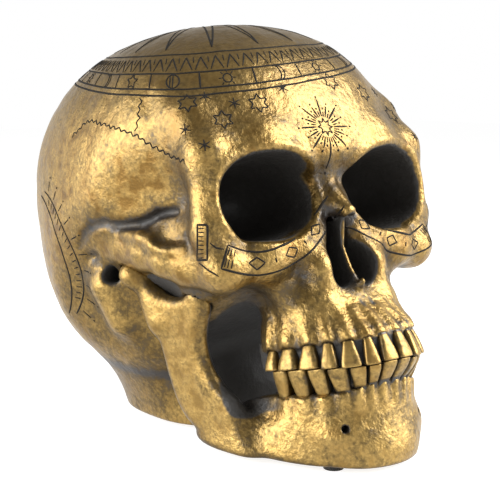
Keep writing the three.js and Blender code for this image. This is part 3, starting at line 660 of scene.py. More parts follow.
# Lines across X, Y and Z in mm: close on the face, wide at the back of the head.
CRANIUM_LINES = [
    spaced((-FINE / 2, 62, FINE), (62, 77, 1.5)),
    spaced((-108, -36, FINE), (-36, 10, 1.5), (10, 96, 2.6)),
    spaced((-1, 112, FINE), (112, 178, 2.5)),
]
JAW_LINES = [
    spaced((-JAW_FINE / 2, 70, JAW_FINE)), spaced((-117, -2, JAW_FINE)), spaced((-1, 84, JAW_FINE)),
]
cranium_surface = cast(cranium, CRANIUM_LINES)
jaw_surface = cast(lower_jaw, JAW_LINES)
print("cranium:", 2 * len(cranium_surface[2]), "triangles; jaw:", 2 * len(jaw_surface[2]), "triangles")

# %% [markdown]
# ## Hand-modelled dents
# A resin casting keeps the unevenness of its clay master. Smooth random bumps of three sizes, 28, 10 and
# 4.6 mm across, move the surface by a few tenths of a millimetre. They come from random numbers on a
# lattice, blended between its points, and each seed is fixed.

# %% Dents
# Size and height in mm, and seed.
DENTS = [(28.0, 0.42, 11), (10.0, 0.20, 12), (4.6, 0.11, 13)]
LATTICE = 32
DENTS_START, DENTS_FADE = 3, 8


def lattice_noise(points, size, seed):
    """Random values from -1 to 1 on a lattice of that size, blended by 3t^2 - 2t^3 between its points."""
    values = np.random.default_rng(seed).uniform(-1, 1, (LATTICE, LATTICE, LATTICE))
    place = points / size
    low = np.floor(place).astype(int)
    share = place - low
    share = share * share * (3 - 2 * share)
    total = 0
    for corner in np.ndindex(2, 2, 2):
        at = np.mod(low + corner, LATTICE)
        weight = np.prod(np.where(corner, share, 1 - share), axis=1)
        total = total + weight * values[at[:, 0], at[:, 1], at[:, 2]]
    return total


def dents(points):
    """How far the surface stands out, fading to nothing near the flat underside."""
    total = sum(height * lattice_noise(points, size, seed) for size, height, seed in DENTS)
    return total * np.clip((points[:, 2] - UNDERSIDE - DENTS_START) / DENTS_FADE, 0, 1)


# %% [markdown]
# ## Where the black stays
# Gold wax is wiped over the high places with a nearly dry brush. Two numbers at each point carry that
# to the paint: how deep the point lies in a hollow, which also paints shade into recesses, and how
# far it is from the edge of the places that were left black, such as the eye sockets, the nose and
# the space inside the jaw.

# %% How deep a point lies
# Each reach in mm, and its weight.
HOLLOW_REACH = [(1.5, 0.22), (4.0, 0.30), (9.0, 0.28), (18.0, 0.20)]


def tooth_places(row, widths):
    """Centre x and y, turn and width of each tooth of half a row."""
    _, x, y, lengths = row_path(row)
    x, y = np.append(x, x[-1]), np.append(y, y[-1] + ROW_TAIL)
    lengths = np.append(lengths, lengths[-1] + ROW_TAIL)
    centre = np.cumsum(widths) - np.array(widths) / 2
    ahead = [np.interp(centre + 1, lengths, one) - np.interp(centre - 1, lengths, one) for one in (x, y)]
    turn = np.arctan2(*ahead[::-1])
    return zip(np.interp(centre, lengths, x), np.interp(centre, lengths, y), turn, widths)


# Painted shade: this depth is ambient occlusion, and it darkens recesses as well as marking where the primer
# stays.
def depth_in_hollows(field, points, normals):
    """Sum over reaches r of weight (1 - distance at p + r n, over r): 0 in the open, 1 in a deep hole."""
    total = 0
    for reach, weight in HOLLOW_REACH:
        free = in_parts(field, (points + reach * normals).T) / reach
        total = total + weight * np.clip(1 - free, 0, 1)
    return total


# %% Where the black begins
# Painted shade as well as primer: the black inside the jaw, under the cheek arch, on the palate and on the
# jaw's inner side.
INSIDE_JAW = dict(centre=(0, -30, -44), radii=(40, 26, 46), squareness=4)
UNDER_ARCH = dict(centre=(46, -33, -5), radii=(12, 17, 12), squareness=3)
# How far outside each hole the black reaches in mm, and how much its soft edge is stretched.
BLACK_REACH = dict(
    orbit=(0.9, 1.0), nose=(0.5, 1.0), ear_hole=(0.6, 1.0), pit=(0.3, 1.0), groove=(0.2, 1.2),
    under_arch=(0.0, 1.5), palate=(0.0, 0.6), inside_jaw=(0.0, 3.0), recess=(0.4, 2.2),
    tongue_side=(0.0, 0.6), nerve_hole=(0.0, 1.0),
)
SEPTUM_GOLD = dict(side=0.4, edge=0.7, top=4, bottom=-24, distance=1.0)
PALATE = dict(inside=0.4, top=-43.5, back=-35)
RAMUS_INSIDE = dict(reach=1.2, stretch=1.6, front=-50, front_stretch=3)
RECESS_FOOT = dict(top=-66, fade=2.5, most=4)
TONGUE_SIDE = dict(inside=1.0, bottom=-59.9)
FAR_HOLE_GOLD = 3.0
ROOT_SHADE = dict(weight=0.4, reach=10, power=3, back=-50)
# A dark line of primer and painted shade in the crease at the top of the foot.
FOOT_CREASE_SHADE = dict(weight=0.45, z=24.0, half=2.2, front=-30)


def with_black(edge, **holes):
    """The smaller of the edge so far and (distance - reach) / stretch of each named hole."""
    for name, distance in holes.items():
        reach, stretch = BLACK_REACH[name]
        edge = np.minimum(edge, (distance - reach) / stretch)
    return edge


# %% Distances from the edge of the black


def cranium_black(points):
    """Distance, in units of the paint's soft edge, from the black sockets, nose, ear hole and throat; the
    black under the arch and in the throat is primer and painted shade.
    """
    at = in_skull(*points.T)
    x, y, z = at
    edge = with_black(np.inf, orbit=orbit(at), nose=nose(at))
    on_septum = np.interp(z, SEPTUM_HEIGHTS, SEPTUM_EDGE) > y - SEPTUM_GOLD["edge"]
    on_septum &= x < SEPTUM_HALF + SEPTUM_GOLD["side"]
    on_septum &= (z > SEPTUM_GOLD["bottom"]) & (z < SEPTUM_GOLD["top"])
    edge = np.where(on_septum, SEPTUM_GOLD["distance"], edge)
    palate = np.maximum(outside_row(at, UPPER_ROW) - PALATE["inside"], z - PALATE["top"])
    return with_black(
        edge, ear_hole=bar(at, *EAR_HOLE), pit=ellipsoid(at, **PIT), groove=chain(at, TEMPLE_GROOVE, 1.0),
        under_arch=ellipsoid(at, **UNDER_ARCH), palate=np.maximum(palate, y - PALATE["back"]),
        inside_jaw=ellipsoid(at, **INSIDE_JAW),
    )


def jaw_black(points):
    """The same for the jaw: its inner side behind the teeth, the recess, and the nerve's hole; the black on
    the inner side is primer and painted shade.
    """
    at = in_skull(*points.T)
    _, y, z = at
    side = (ramus_middle(at) + RAMUS_INSIDE["reach"]) / RAMUS_INSIDE["stretch"]
    inner = np.maximum(side, (RAMUS_INSIDE["front"] - y) / RAMUS_INSIDE["front_stretch"])
    foot = np.clip((RECESS_FOOT["top"] - z) / RECESS_FOOT["fade"], 0, RECESS_FOOT["most"])
    recess = with_black(np.inf, recess=ellipsoid(at, **RECESS)) + foot
    tongue_side = np.maximum(outside_row(at, LOWER_ROW) + TONGUE_SIDE["inside"], TONGUE_SIDE["bottom"] - z)
    nerve_hole = bar(at, *MENTAL_HOLE) + np.where(points[:, 0] < 0, 0.0, FAR_HOLE_GOLD)
    return with_black(np.minimum(inner, recess), tongue_side=tongue_side, nerve_hole=nerve_hole)


def painted_shade_between_roots(points, row, widths, level):
    """Painted shade between the root ribs: |2s - 1|^3, fading over the reach from the gum's edge."""
    x, y, z = in_skull(*points.T)
    place, share = tooth_share(x, y, row, widths)
    fade = np.clip(1 - np.abs(z - level) / ROOT_SHADE["reach"], 0, 1)
    shade_here = np.abs(2 * share - 1) ** ROOT_SHADE["power"] * fade
    return shade_here * (place < len(widths)) * (y < ROOT_SHADE["back"])


def shade_in_foot_crease(points):
    """A dark line of primer and painted shade round the top of the foot, behind the jaw: e^-((z - 24) /
    2.2)^2.
    """
    off = (points[:, 2] - FOOT_CREASE_SHADE["z"]) / FOOT_CREASE_SHADE["half"]
    return np.exp(-off ** 2) * (points[:, 1] > FOOT_CREASE_SHADE["front"])


# %% [markdown]
# ## From arrays to pieces
# Each piece becomes one mesh with its two paint numbers stored on the points. Lengths turn from
# millimetres into metres here, and the points move along Y to where the CAD model stands.

# %% Make a piece


def make_piece(name, points, faces, slot, replaces=(), **numbers):
    """A smooth mesh from points in mm in the table frame, with a number on every point for the paint."""
    mesh = bpy.data.meshes.new(name)
    placed = (points + [0, SHIFT, 0]) * MM
    mesh.vertices.add(len(placed))
    mesh.vertices.foreach_set("co", placed.astype(np.float32).ravel())
    corners = faces.shape[1]
    mesh.loops.add(faces.size)
    mesh.loops.foreach_set("vertex_index", faces.astype(np.int32).ravel())
    mesh.polygons.add(len(faces))
    mesh.polygons.foreach_set("loop_start", np.arange(0, faces.size, corners, dtype=np.int32))
    mesh.polygons.foreach_set("use_smooth", np.ones(len(faces), bool))
    mesh.update(calc_edges=True)
    mesh.validate()
    for key, values in numbers.items():
        attribute = mesh.attributes.new(key, "FLOAT", "POINT")
        attribute.data.foreach_set("value", np.asarray(values, np.float32))
    piece = bpy.data.objects.new(name, mesh)
    bpy.context.scene.collection.objects.link(piece)
    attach(piece, "root")
    if replaces:
        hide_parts(*replaces)
    print(name, len(placed), "points,", len(faces), "faces")
    return piece


# %% The two castings
LOWER_ROOTS = -62


def casting(name, surface, field, black, row, widths, gum, node):
    """One casting with its dents, its depth in hollows with painted shade added between the roots and in the
    foot's crease, and its distance from the black.
    """
    points, normals, quads = surface
    hollow = depth_in_hollows(field, points, normals)
    hollow += ROOT_SHADE["weight"] * painted_shade_between_roots(points, row, widths, gum)
    hollow += FOOT_CREASE_SHADE["weight"] * shade_in_foot_crease(points)
    edge = black(points)
    dented = points + dents(points)[:, None] * normals
    return make_piece(name, dented, quads, "gold_resin", (node,), hollow=hollow, black_edge=edge)


cranium_piece = casting(
    "cranium_casting", cranium_surface, cranium, cranium_black, UPPER_ROW, UPPER_WIDTHS, UPPER_GUM,
    "cranium_shell",
)
jaw_piece = casting(
    "jaw_casting", jaw_surface, lower_jaw, jaw_black, LOWER_ROW, LOWER_WIDTHS, LOWER_ROOTS, "lower_jaw",
)

# %% [markdown]
# ## Teeth
# Each tooth is a closed surface of its own: a superellipse carried up from the biting edge to the root,
# with a pole at each end. Upper teeth are bells, narrow at the gum, so that black wedges open between
# their necks. Lower teeth are flat-fronted and squarer.

# %% One tooth
AROUND = 40
# The rounded biting end: share of the full section, and height in mm.
CAP = [(0.0, 0.0), (0.45, 0.0), (0.8, 0.02), (0.93, 0.1), (0.985, 0.35), (1.0, 0.8)]
SIDE_ROWS, FIRST_SIDE_ROW, ROOT_TIP = 16, 1.3, 0.4
BELLY = dict(share=0.02, reach=1.6)
WIDTH_POWER, FACE_POWER = 1.15, 1.5
ROOT_TAPER = 0.7


def superellipse(count, power):
    """cos and sin of a turn, each raised to 2 / power with its sign: a round-cornered box over power 2."""
    turn = np.linspace(0, 2 * np.pi, count, endpoint=False)
    c, s = np.cos(turn), np.sin(turn)
    return np.sign(c) * np.abs(c) ** (2 / power), np.sign(s) * np.abs(s) ** (2 / power)


def tooth(width, height, bite_share, gum_share, front, back, crown, power):
    """Points of one tooth, pole first: across = w(h) e_x, out = mid(h) + half(h) e_y, up = h."""
    cap_scale, cap_height = np.transpose(CAP)
    side_rows = np.linspace(FIRST_SIDE_ROW, height, SIDE_ROWS)
    heights = np.concatenate([cap_height, side_rows, [height + ROOT_TIP]])
    scale = np.concatenate([cap_scale, np.ones(SIDE_ROWS), [0.0]])
    up = np.clip(heights / crown, 0, 1)
    buried = np.clip(heights - crown, 0, None)
    belly = BELLY["share"] * np.sin(np.pi * np.clip(up * BELLY["reach"], 0, 1))
    half_width = width * (bite_share + (gum_share - bite_share) * up ** WIDTH_POWER + belly)
    outer = front[0] + (front[1] - front[0]) * up ** FACE_POWER - ROOT_TAPER * buried
    inner = back[0] + (back[1] - back[0]) * up
    across, out = superellipse(AROUND, power)
    middle, half = (outer + inner) / 2, (outer - inner) / 2
    x = (scale * half_width)[:, None] * across
    y = middle[:, None] + (scale * half)[:, None] * out
    return np.stack([x, y, np.broadcast_to(heights[:, None], x.shape)], -1)


def shell_faces(rows, around):
    """Quads between rows, and a fan of flat quads to each pole row, whose points are later merged."""
    row, step = np.meshgrid(np.arange(rows - 1), np.arange(around), indexing="ij")
    first, second = row * around + step, row * around + (step + 1) % around
    return np.stack([first, second, second + around, first + around], -1).reshape(-1, 4)


# %% The paint on a tooth
BITE_CLEARANCE = 0.12
TOOTH_NECK = dict(below=0.9, fade=0.7)
GOLD_FRONT = dict(share=0.52, rounded=0.12, sharpness=9)
TOOTH_SHADE = dict(face=0.05, neck=0.6, gap=0.25, gap_power=6)


def tooth_paint(local, crown):
    """Shade, dark at the neck and in the gaps, and distance from the black behind the front face."""
    across, out, up = np.moveaxis(local, -1, 0)
    aside = np.abs(across) / (np.abs(across).max(1, keepdims=True) + SLIGHT)
    facing = (out - out.min(1, keepdims=True)) / (np.ptp(out, axis=1, keepdims=True) + SLIGHT)
    neck = np.clip((up - crown + TOOTH_NECK["below"]) / TOOTH_NECK["fade"], 0, 1)
    gap = TOOTH_SHADE["gap"] * aside ** TOOTH_SHADE["gap_power"]
    shade = TOOTH_SHADE["face"] + TOOTH_SHADE["neck"] * neck + gap
    edge = facing - GOLD_FRONT["share"] + GOLD_FRONT["rounded"] * (1 - aside)
    return shade.ravel(), (edge * GOLD_FRONT["sharpness"]).ravel()


# %% Closing a pole
# Points closer than this, in metres, become one.
SAME_POINT = 2e-6


def closed(piece):
    """Merges the points that share a pole and turns every face outwards."""
    work = bmesh.new()
    work.from_mesh(piece.data)
    bmesh.ops.remove_doubles(work, verts=work.verts, dist=SAME_POINT)
    bmesh.ops.recalc_face_normals(work, faces=work.faces)
    work.to_mesh(piece.data)
    work.free()
    return piece


# %% A row of teeth


def set_in_row(local, centre_x, centre_y, turn, level, side):
    """Turned to face out of the row: c + across (cos, sin) + out (sin, -cos), and stood on the bite."""
    across, out, up = np.moveaxis(local, -1, 0)
    c, s = np.cos(turn), np.sin(turn)
    x = centre_x + across * c + out * s
    y = centre_y + across * s - out * c
    return x, y, level + side * (up + BITE_CLEARANCE)


def tooth_row(name, row, widths, side, forms):
    """Every tooth of both halves of a row as one piece, with the black in the gaps and at the neck."""
    points, faces, hollow, black = [], [], [], []
    count = 0
    for index, (centre_x, centre_y, turn, width) in enumerate(tooth_places(row, widths)):
        form = forms(index)
        local = tooth(width, **form)
        x, y, z = set_in_row(local, centre_x, centre_y, turn, bite_level(index + 0.5), side)
        shade, edge = tooth_paint(local, form["crown"])
        for mirror in (1, -1):
            face = shell_faces(len(local), AROUND) + count
            points.append(np.stack([x * mirror, y, z], -1).reshape(-1, 3))
            faces.append(face if mirror * side < 0 else face[:, ::-1])
            hollow.append(shade)
            black.append(edge)
            count += len(local) * AROUND
    piece = make_piece(
        name, on_table(np.concatenate(points)), np.concatenate(faces), "gold_resin",
        hollow=np.concatenate(hollow), black_edge=np.concatenate(black),
    )
    return closed(piece)


# %% Both rows
UNDER_GUM = 0.3
CANINE, BACK_TEETH = 2, 4
MOLAR_BACK = 3.5
LOWER_LEAN = dict(incisor=-2.2, step=1.3)


def past_canine(index):
    """How many teeth behind the canine."""
    return max(index - CANINE, 0)


def upper_form(index):
    """Incisors are thin at the bite, molars thick; all are narrow at the neck."""
    molar = past_canine(index) / BACK_TEETH
    crown = along_row(index + 0.5, UPPER_EDGE) - bite_level(index + 0.5) + UNDER_GUM
    return dict(
        height=crown + 3, crown=crown, power=3.0,
        bite_share=0.48, gum_share=0.25 + 0.04 * molar,
        front=(4.2, 0.9), back=(0.8 - MOLAR_BACK * molar, -3.5),
    )


def lower_form(index):
    """Flat-fronted, widest at the bite, leaning in to the gum least at the back."""
    molar = past_canine(index) / BACK_TEETH
    crown = bite_level(index + 0.5) - along_row(index + 0.5, LOWER_EDGE) + UNDER_GUM
    at_gum = LOWER_LEAN["incisor"] + LOWER_LEAN["step"] * past_canine(index)
    return dict(
        height=crown + 2.5, crown=crown, power=3.6,
        bite_share=0.482, gum_share=0.35,
        front=(4.0, at_gum), back=(1.0 - MOLAR_BACK * molar, -5.0),
    )


upper_teeth = tooth_row("upper_teeth", UPPER_ROW, UPPER_WIDTHS, 1, upper_form)
lower_teeth = tooth_row("lower_teeth", LOWER_ROW, LOWER_WIDTHS, -1, lower_form)

# %% [markdown]
# ## Inked engraving
# Sutures, stars, a sunburst, a ribbon and a ringed crown are cut into the master and inked black. Each
# line is drawn as a thin raised bead of ink, about 1 mm wide and 0.16 mm high, because a groove that fine
# would need a far denser net. A line starts as points near the surface and a direction in which it is
# dropped on it.

# %% Strokes
STROKE = 1.05
THIN = 0.8
INK_HEIGHT = 0.16
STEP_ALONG = 0.9
STAND_OFF = 26.0
strokes = []


def arc_lengths(points):
    """How far along a line each of its points is."""
    return np.concatenate([[0], np.cumsum(np.linalg.norm(np.diff(points, axis=0), axis=1))])


def at_lengths(values, lengths, places):
    """The values of a line's points at other places along it, straight between the points."""
    return np.stack([np.interp(places, lengths, values[:, axis]) for axis in range(3)], 1)


def stroke(points, direction, width=STROKE, loop=False):
    """Keeps a line for later: its points every 0.9 mm, in the skull's frame, and which way it is dropped."""
    points = np.asarray(points, float)
    direction = np.broadcast_to(np.asarray(direction, float), points.shape)
    if loop:
        points = np.concatenate([points, points[:1]])
        direction = np.concatenate([direction, direction[:1]])
    lengths = arc_lengths(points)
    count = max(int(lengths[-1] / STEP_ALONG), 2) + 1
    places = np.linspace(0, lengths[-1], count)[:-1 if loop else None]
    line = at_lengths(points, lengths, places)
    strokes.append((line, at_lengths(direction, lengths, places), width, loop))


def both_sides(points, direction, width=STROKE, loop=False):
    """The same line on both sides of the skull."""
    for side in (1, -1):
        flip = np.array([side, 1, 1])
        stroke(np.asarray(points) * flip, np.asarray(direction) * flip, width, loop)


def arc(radius, start, end, count=24):
    """Flat points on an arc: radius (cos t, sin t), t in degrees."""
    turn = np.radians(np.linspace(start, end, count))
    return radius * np.stack([np.cos(turn), np.sin(turn)], 1)


def star(points, outer, inner):
    """A star's outline: the radius changes between outer and inner at every half point."""
    turn = np.linspace(0, 2 * np.pi, 2 * points, endpoint=False) + np.pi / 2
    radius = np.where(np.arange(2 * points) % 2, inner, outer)
    return np.stack([radius * np.cos(turn), radius * np.sin(turn)], 1)


# %% Motifs on the vault
VAULT_CENTRE = np.array(VAULT["centre"])


def motif_at(centre, flat_lines, loop=False, width=STROKE):
    """Flat lines set on the vault round a centre: c + a side + b up, dropped straight in."""
    centre = np.array(centre, float)
    out = centre - VAULT_CENTRE
    out /= np.linalg.norm(out)
    up = np.array([0, 0, 1]) - out[2] * out
    up /= np.linalg.norm(up)
    side = np.cross(up, out)
    for flat in flat_lines:
        flat = np.asarray(flat, float)
        stroke(centre + flat[:, :1] * side + flat[:, 1:] * up, -out, width, loop)


def asterisk(radius):
    """Three lines through one point, 60 degrees apart."""
    ends = arc(radius, 90, 390, 6)
    return [ends[[one, one + 3]] for one in range(3)]


OUTLINED_STARS = [
    (-52.5, -64, 55), (-43, -71.5, 46.5), (-29, -77, 52), (27.5, -76, 56), (45, -70, 47), (9, -79, 61),
]
SMALL_STARS = [
    (-46.5, -67.5, 57.5), (-38, -74, 53.5), (-57, -66, 45), (-55, -74, 37), (41, -69, 58), (53, -66, 52),
    (-17, -79, 58), (50, -72.5, 36),
]
for place in OUTLINED_STARS:
    motif_at(place, [star(6, outer=4.3, inner=2.3)], loop=True, width=THIN)
for place in SMALL_STARS:
    motif_at(place, asterisk(radius=2.4), width=THIN)

# %% The sunburst over the nose
BURST_CENTRE = (-3.2, -85, 41)
BURST_RAYS = 32
BURST_REACH = [13.5, 8.5, 11.0, 8.5]
BURST_START, LONGER_DOWN = 4.6, 1.25
RAY_WIDTH, DOT_WIDTH = 1.0, 1.35
rays, dots = [], []
for ray in range(BURST_RAYS):
    turn = 2 * np.pi * ray / BURST_RAYS + np.pi / 2
    aim = np.array([np.cos(turn), np.sin(turn)])
    reach = BURST_REACH[ray % len(BURST_REACH)] * (LONGER_DOWN if ray == BURST_RAYS // 2 else 1)
    rays.append(np.array([aim * BURST_START, aim * (reach - 1.6)]))
    dots.append(np.array([aim * (reach - 0.7), aim * (reach + 0.1)]))
motif_at(BURST_CENTRE, rays, width=RAY_WIDTH)
motif_at(BURST_CENTRE, dots, width=DOT_WIDTH)
motif_at(BURST_CENTRE, [star(8, outer=4.0, inner=2.0)], loop=True, width=THIN)

# %% Sutures
SUTURE_WAVE, SUTURE_DEPTH, SUTURE_SEED = 1.7, 0.75, 21
CORONAL = [(59.6, -44, 62.6), (62.6, -44.2, 55), (64.3, -43.6, 48.4)]
SQUAMOSAL = [
    (68.4, -2, 57), (67.4, -13.5, 61.5), (67.3, -30, 55), (64.3, -43.4, 48.2), (61.4, -50, 42.3),
    (59.8, -59.5, 36.4), (60.2, -68, 32.2),
]


def suture(points):
    """A line that zigzags: p + depth times +1 or -1 across the line, every 1.7 mm, a little unevenly."""
    points = np.asarray(points, float)
    lengths = arc_lengths(points)
    line = at_lengths(points, lengths, np.arange(0, lengths[-1], SUTURE_WAVE))
    out = line - VAULT_CENTRE
    out /= np.linalg.norm(out, axis=1, keepdims=True)
    across = np.cross(np.gradient(line, axis=0), out)
    across /= np.linalg.norm(across, axis=1, keepdims=True)
    uneven = np.random.default_rng(SUTURE_SEED).uniform(0.5, 1.3, len(line))
    wander = uneven * np.where(np.arange(len(line)) % 2, 1, -1)
    both_sides(line + SUTURE_DEPTH * wander[:, None] * across, -out, THIN)


suture(CORONAL)
suture(SQUAMOSAL)

# %% The ringed crown
# Heights of the rings along the crown's axis, in mm from the middle of the vault.
RING_OUTER, RING_SECOND, RING_MIDDLE, RING_INNER = 59.3, 59.3 + 1.5, 64.6, 69.4
AXIS_OUTER = np.array([-0.13, -0.30, 0.946])
AXIS_INNER = np.array([-0.08, -0.24, 0.967])
OUT_FROM_AXIS = 60
ROUND = np.linspace(0, 2 * np.pi, 240, endpoint=False)
CELLS, TICKS = 18, 60


def on_crown(turn, height, rise=0.0):
    """Start and aim at an angle round the crown's axis and a height along it.

    Start = centre + height axis + 60 aim, where the aim is level, or tilted up by the rise.
    """
    turn, height, rise = np.broadcast_arrays(*(np.asarray(one, float) for one in (turn, height, rise)))
    share = np.clip((height - RING_OUTER) / (RING_INNER - RING_OUTER), 0, 1)[..., None]
    axis = AXIS_OUTER + share * (AXIS_INNER - AXIS_OUTER)
    axis = axis / np.linalg.norm(axis, axis=-1, keepdims=True)
    ahead = np.array([0, -1, 0]) + axis[..., 1:2] * axis
    ahead = ahead / np.linalg.norm(ahead, axis=-1, keepdims=True)
    side = np.cross(axis, ahead)
    level = np.cos(turn)[..., None] * ahead + np.sin(turn)[..., None] * side
    aim = np.cos(rise)[..., None] * level + np.sin(rise)[..., None] * axis
    return VAULT_CENTRE + height[..., None] * axis + OUT_FROM_AXIS * aim, -aim


def crown_line(turn, height, rise=0.0, width=STROKE, loop=False):
    """A line on the crown from its angles, heights and rises."""
    stroke(*on_crown(turn, height, rise), width=width, loop=loop)


for height in (RING_OUTER, RING_SECOND, RING_MIDDLE, RING_INNER):
    crown_line(ROUND, height, loop=True)
for cell in range(CELLS):
    turn = 2 * np.pi * cell / CELLS
    crown_line([turn, turn], [RING_SECOND, RING_MIDDLE])
for tick in range(TICKS):
    turn = 2 * np.pi * (tick + 0.5) / TICKS
    half = np.pi / TICKS
    peak = [RING_MIDDLE + 0.6, RING_INNER - 0.9, RING_MIDDLE + 0.6]
    crown_line([turn - 0.8 * half, turn, turn + 0.8 * half], peak, width=THIN)
    crown_line([turn + half, turn + half], [RING_INNER - 2.4, RING_INNER - 1.0], width=THIN)

# %% Moons, suns and rays of the crown
BAND_MIDDLE = (RING_SECOND + RING_MIDDLE) / 2
SPREAD_TURN, SPREAD_HEIGHT = 1 / 52.0, 0.72
ROSE = 16
RISE_START, RISE_MIDDLE, RISE_TOP, RISE_RING = 0.04, np.radians(38), np.radians(62), np.radians(72)


def in_cell(cell, flat_lines, loop=False):
    """Flat lines in the middle of a cell of the outer band: a is along the ring and b up it, in mm."""
    middle = 2 * np.pi * (cell + 0.5) / CELLS
    for flat in flat_lines:
        turn = middle - flat[:, 0] * SPREAD_TURN
        crown_line(turn, BAND_MIDDLE + flat[:, 1] * SPREAD_HEIGHT, width=THIN, loop=loop)


def around_sun(inner, outer):
    """Eight short rays, 45 degrees apart."""
    aims = [np.array([[np.cos(turn), np.sin(turn)]]) for turn in np.radians(np.arange(0, 360, 45))]
    return [aim * np.array([[inner], [outer]]) for aim in aims]


# Four kinds of cell in turn: a sun, a crescent, a star and a disc with two bars.
crescent = np.concatenate([arc(2.6, 60, 300), arc(2.9, 291, 69) * [0.62, 0.9] + [0.75, 0]])
disc_bars = [np.array([[0, -2.2], [0, 2.2]]), np.array([[1.0, -1.9], [1.0, 1.9]])]
outlines = [arc(1.5, 0, 345, 16), crescent, star(5, outer=2.9, inner=1.3), arc(2.3, 0, 345, 20)]
inside = [around_sun(1.9, 2.9), [], [], disc_bars]
for cell in range(CELLS):
    kind = cell % len(outlines)
    in_cell(cell, [outlines[kind]], loop=True)
    in_cell(cell, inside[kind])
for point in range(ROSE):
    turn = 2 * np.pi * point / ROSE
    half = np.pi / ROSE
    rise = [RISE_START, RISE_MIDDLE if point % 2 else RISE_TOP, RISE_START]
    crown_line([turn - half, turn, turn + half], RING_INNER, rise)
for rise in (RISE_TOP, RISE_RING):
    crown_line(ROUND[::3], RING_INNER, rise, loop=True)

# %% A ribbon across the cheeks
NEAR_AIM = np.array([-0.50, 0.866, 0])
RIBBON = [
    (54, -71.5, -4.4), (50.3, -74.5, -6.8), (44.5, -76.5, -9), (37.5, -79.5, -9.8), (28.3, -81.5, -7.4),
    (20.0, -81, -4.0), (13.6, -80, 0.2), (9.4, -80.5, 3.8), (6.0, -82.5, 8.0), (2.2, -84.5, 12.4),
]
RIBBON_HALF, FAR_SHARE, DASH_WIDTH = 4.7, 0.76, 1.3
RIBBON_POINTS, SMOOTH_OVER = 40, 7
TAIL = np.array([(60.2, -68.3, 8.4), (57.9, -71.5, 7.6), (58.3, -68.6, -5.1), (59.1, -63.4, -4.4)])
FOLDS = [
    [(57.7, -71, 1), (56, -72, -1.2), (53.5, -73.5, -2.2)],
    [(59, -64, -5.5), (57.5, -66.5, -9), (55, -69, -12)],
]


def smooth(values):
    """A running mean over seven points, with the end values repeated."""
    padded = np.pad(values, SMOOTH_OVER // 2, mode="edge")
    return np.convolve(padded, np.ones(SMOOTH_OVER) / SMOOTH_OVER, "valid")


def ribbon_frame(points, half):
    """The ribbon's middle line and half its width: its edges are p + up and p - up."""
    points = np.asarray(points, float)
    lengths = arc_lengths(points)
    line = at_lengths(points, lengths, np.linspace(0, lengths[-1], RIBBON_POINTS))
    line = np.stack([smooth(line[:, axis]) for axis in range(3)], 1)
    up = np.cross(np.gradient(line, axis=0), NEAR_AIM)
    up /= np.linalg.norm(up, axis=1, keepdims=True)
    return line, up * half * np.linspace(1, FAR_SHARE, len(line))[:, None]


line, up = ribbon_frame(RIBBON, RIBBON_HALF)
both_sides(line + up, NEAR_AIM)
both_sides(line - up, NEAR_AIM)
both_sides([line[0] + up[0], line[0] - up[0]], NEAR_AIM)
for place in (1, 2, 3):
    both_sides([line[place] + 0.8 * up[place], line[place] + 0.1 * up[place]], NEAR_AIM, THIN)
    both_sides([line[place] - 0.2 * up[place], line[place] - 0.8 * up[place]], NEAR_AIM, THIN)
for place in (9, 19, 29):
    tall = 0.55 * up[place]
    diamond = [line[place - 2], line[place] + tall, line[place + 2], line[place] - tall]
    both_sides(diamond, NEAR_AIM, THIN, loop=True)
for place in (14, 24):
    both_sides([line[place] + 0.2 * up[place], line[place] - 0.2 * up[place]], NEAR_AIM, DASH_WIDTH)
both_sides(TAIL, NEAR_AIM, loop=True)
for share in np.arange(0.1, 0.95, 0.12):
    rung = TAIL[:2] + share * (TAIL[[3, 2]] - TAIL[:2])
    both_sides([rung[0] + part * (rung[1] - rung[0]) for part in (0.12, 0.62)], NEAR_AIM, THIN)
for fold in FOLDS:
    both_sides(fold, NEAR_AIM, THIN)

# %% A crescent with rays behind the ear
SIDE_AIM = np.array([-1.0, 0, 0])
MOON_CENTRE = np.array([72, 42, 12])


def beside(flat):
    """Flat points on the side of the head: a backwards, b up, round the moon's centre."""
    flat = np.asarray(flat, float)
    return MOON_CENTRE + np.stack([0 * flat[:, 0], flat[:, 0], flat[:, 1]], 1)


def spoke(near, far, turn, swing=0, width=THIN):
    """A short line from one radius out to another, its far end turned on by the swing in degrees."""
    ends = np.concatenate([arc(near, turn, turn, 1), arc(far, turn + swing, turn + swing, 1)])
    both_sides(beside(ends), SIDE_AIM, width)


both_sides(beside(arc(31, 118, 242, 40)), SIDE_AIM)
both_sides(beside(arc(29, 114, 246, 40) * [0.8, 1.0] + [0.5, 0]), SIDE_AIM)
for turn in range(130, 232, 6):
    spoke(30, 27.5, turn, swing=2)
for turn in range(126, 240, 12):
    spoke(33, 37.5, turn)
    spoke(39, 39.8, turn, width=1.2)
print(len(strokes), "strokes,", sum(len(one[0]) for one in strokes), "points")

# %% Drop the strokes on the skull
TRACE_STEPS, TRACE_SHARE = 30, 0.9
LANDED, CLEAR_OF_BLACK = 0.3, 0.5


def to_table_directions(directions):
    """Skull frame to table frame for a direction: the turn without the move."""
    return on_table(directions) - on_table(np.zeros(3))


def drop(points, directions):
    """Sphere tracing: p + 0.9 f(p) d, thirty times, then out along the slope to the dented surface."""
    aims = to_table_directions(directions)
    aims /= np.linalg.norm(aims, axis=1, keepdims=True)
    points = on_table(points) - STAND_OFF * aims
    for _ in range(TRACE_STEPS):
        points = points + TRACE_SHARE * np.clip(in_parts(cranium, points.T), -3, 20)[:, None] * aims
    slope = slope_at(cranium, points)
    normals = slope / (np.linalg.norm(slope, axis=1, keepdims=True) + SLIGHT)
    landed = np.abs(in_parts(cranium, points.T)) < LANDED
    landed &= cranium_black(points) > CLEAR_OF_BLACK
    return points + dents(points)[:, None] * normals, normals, landed


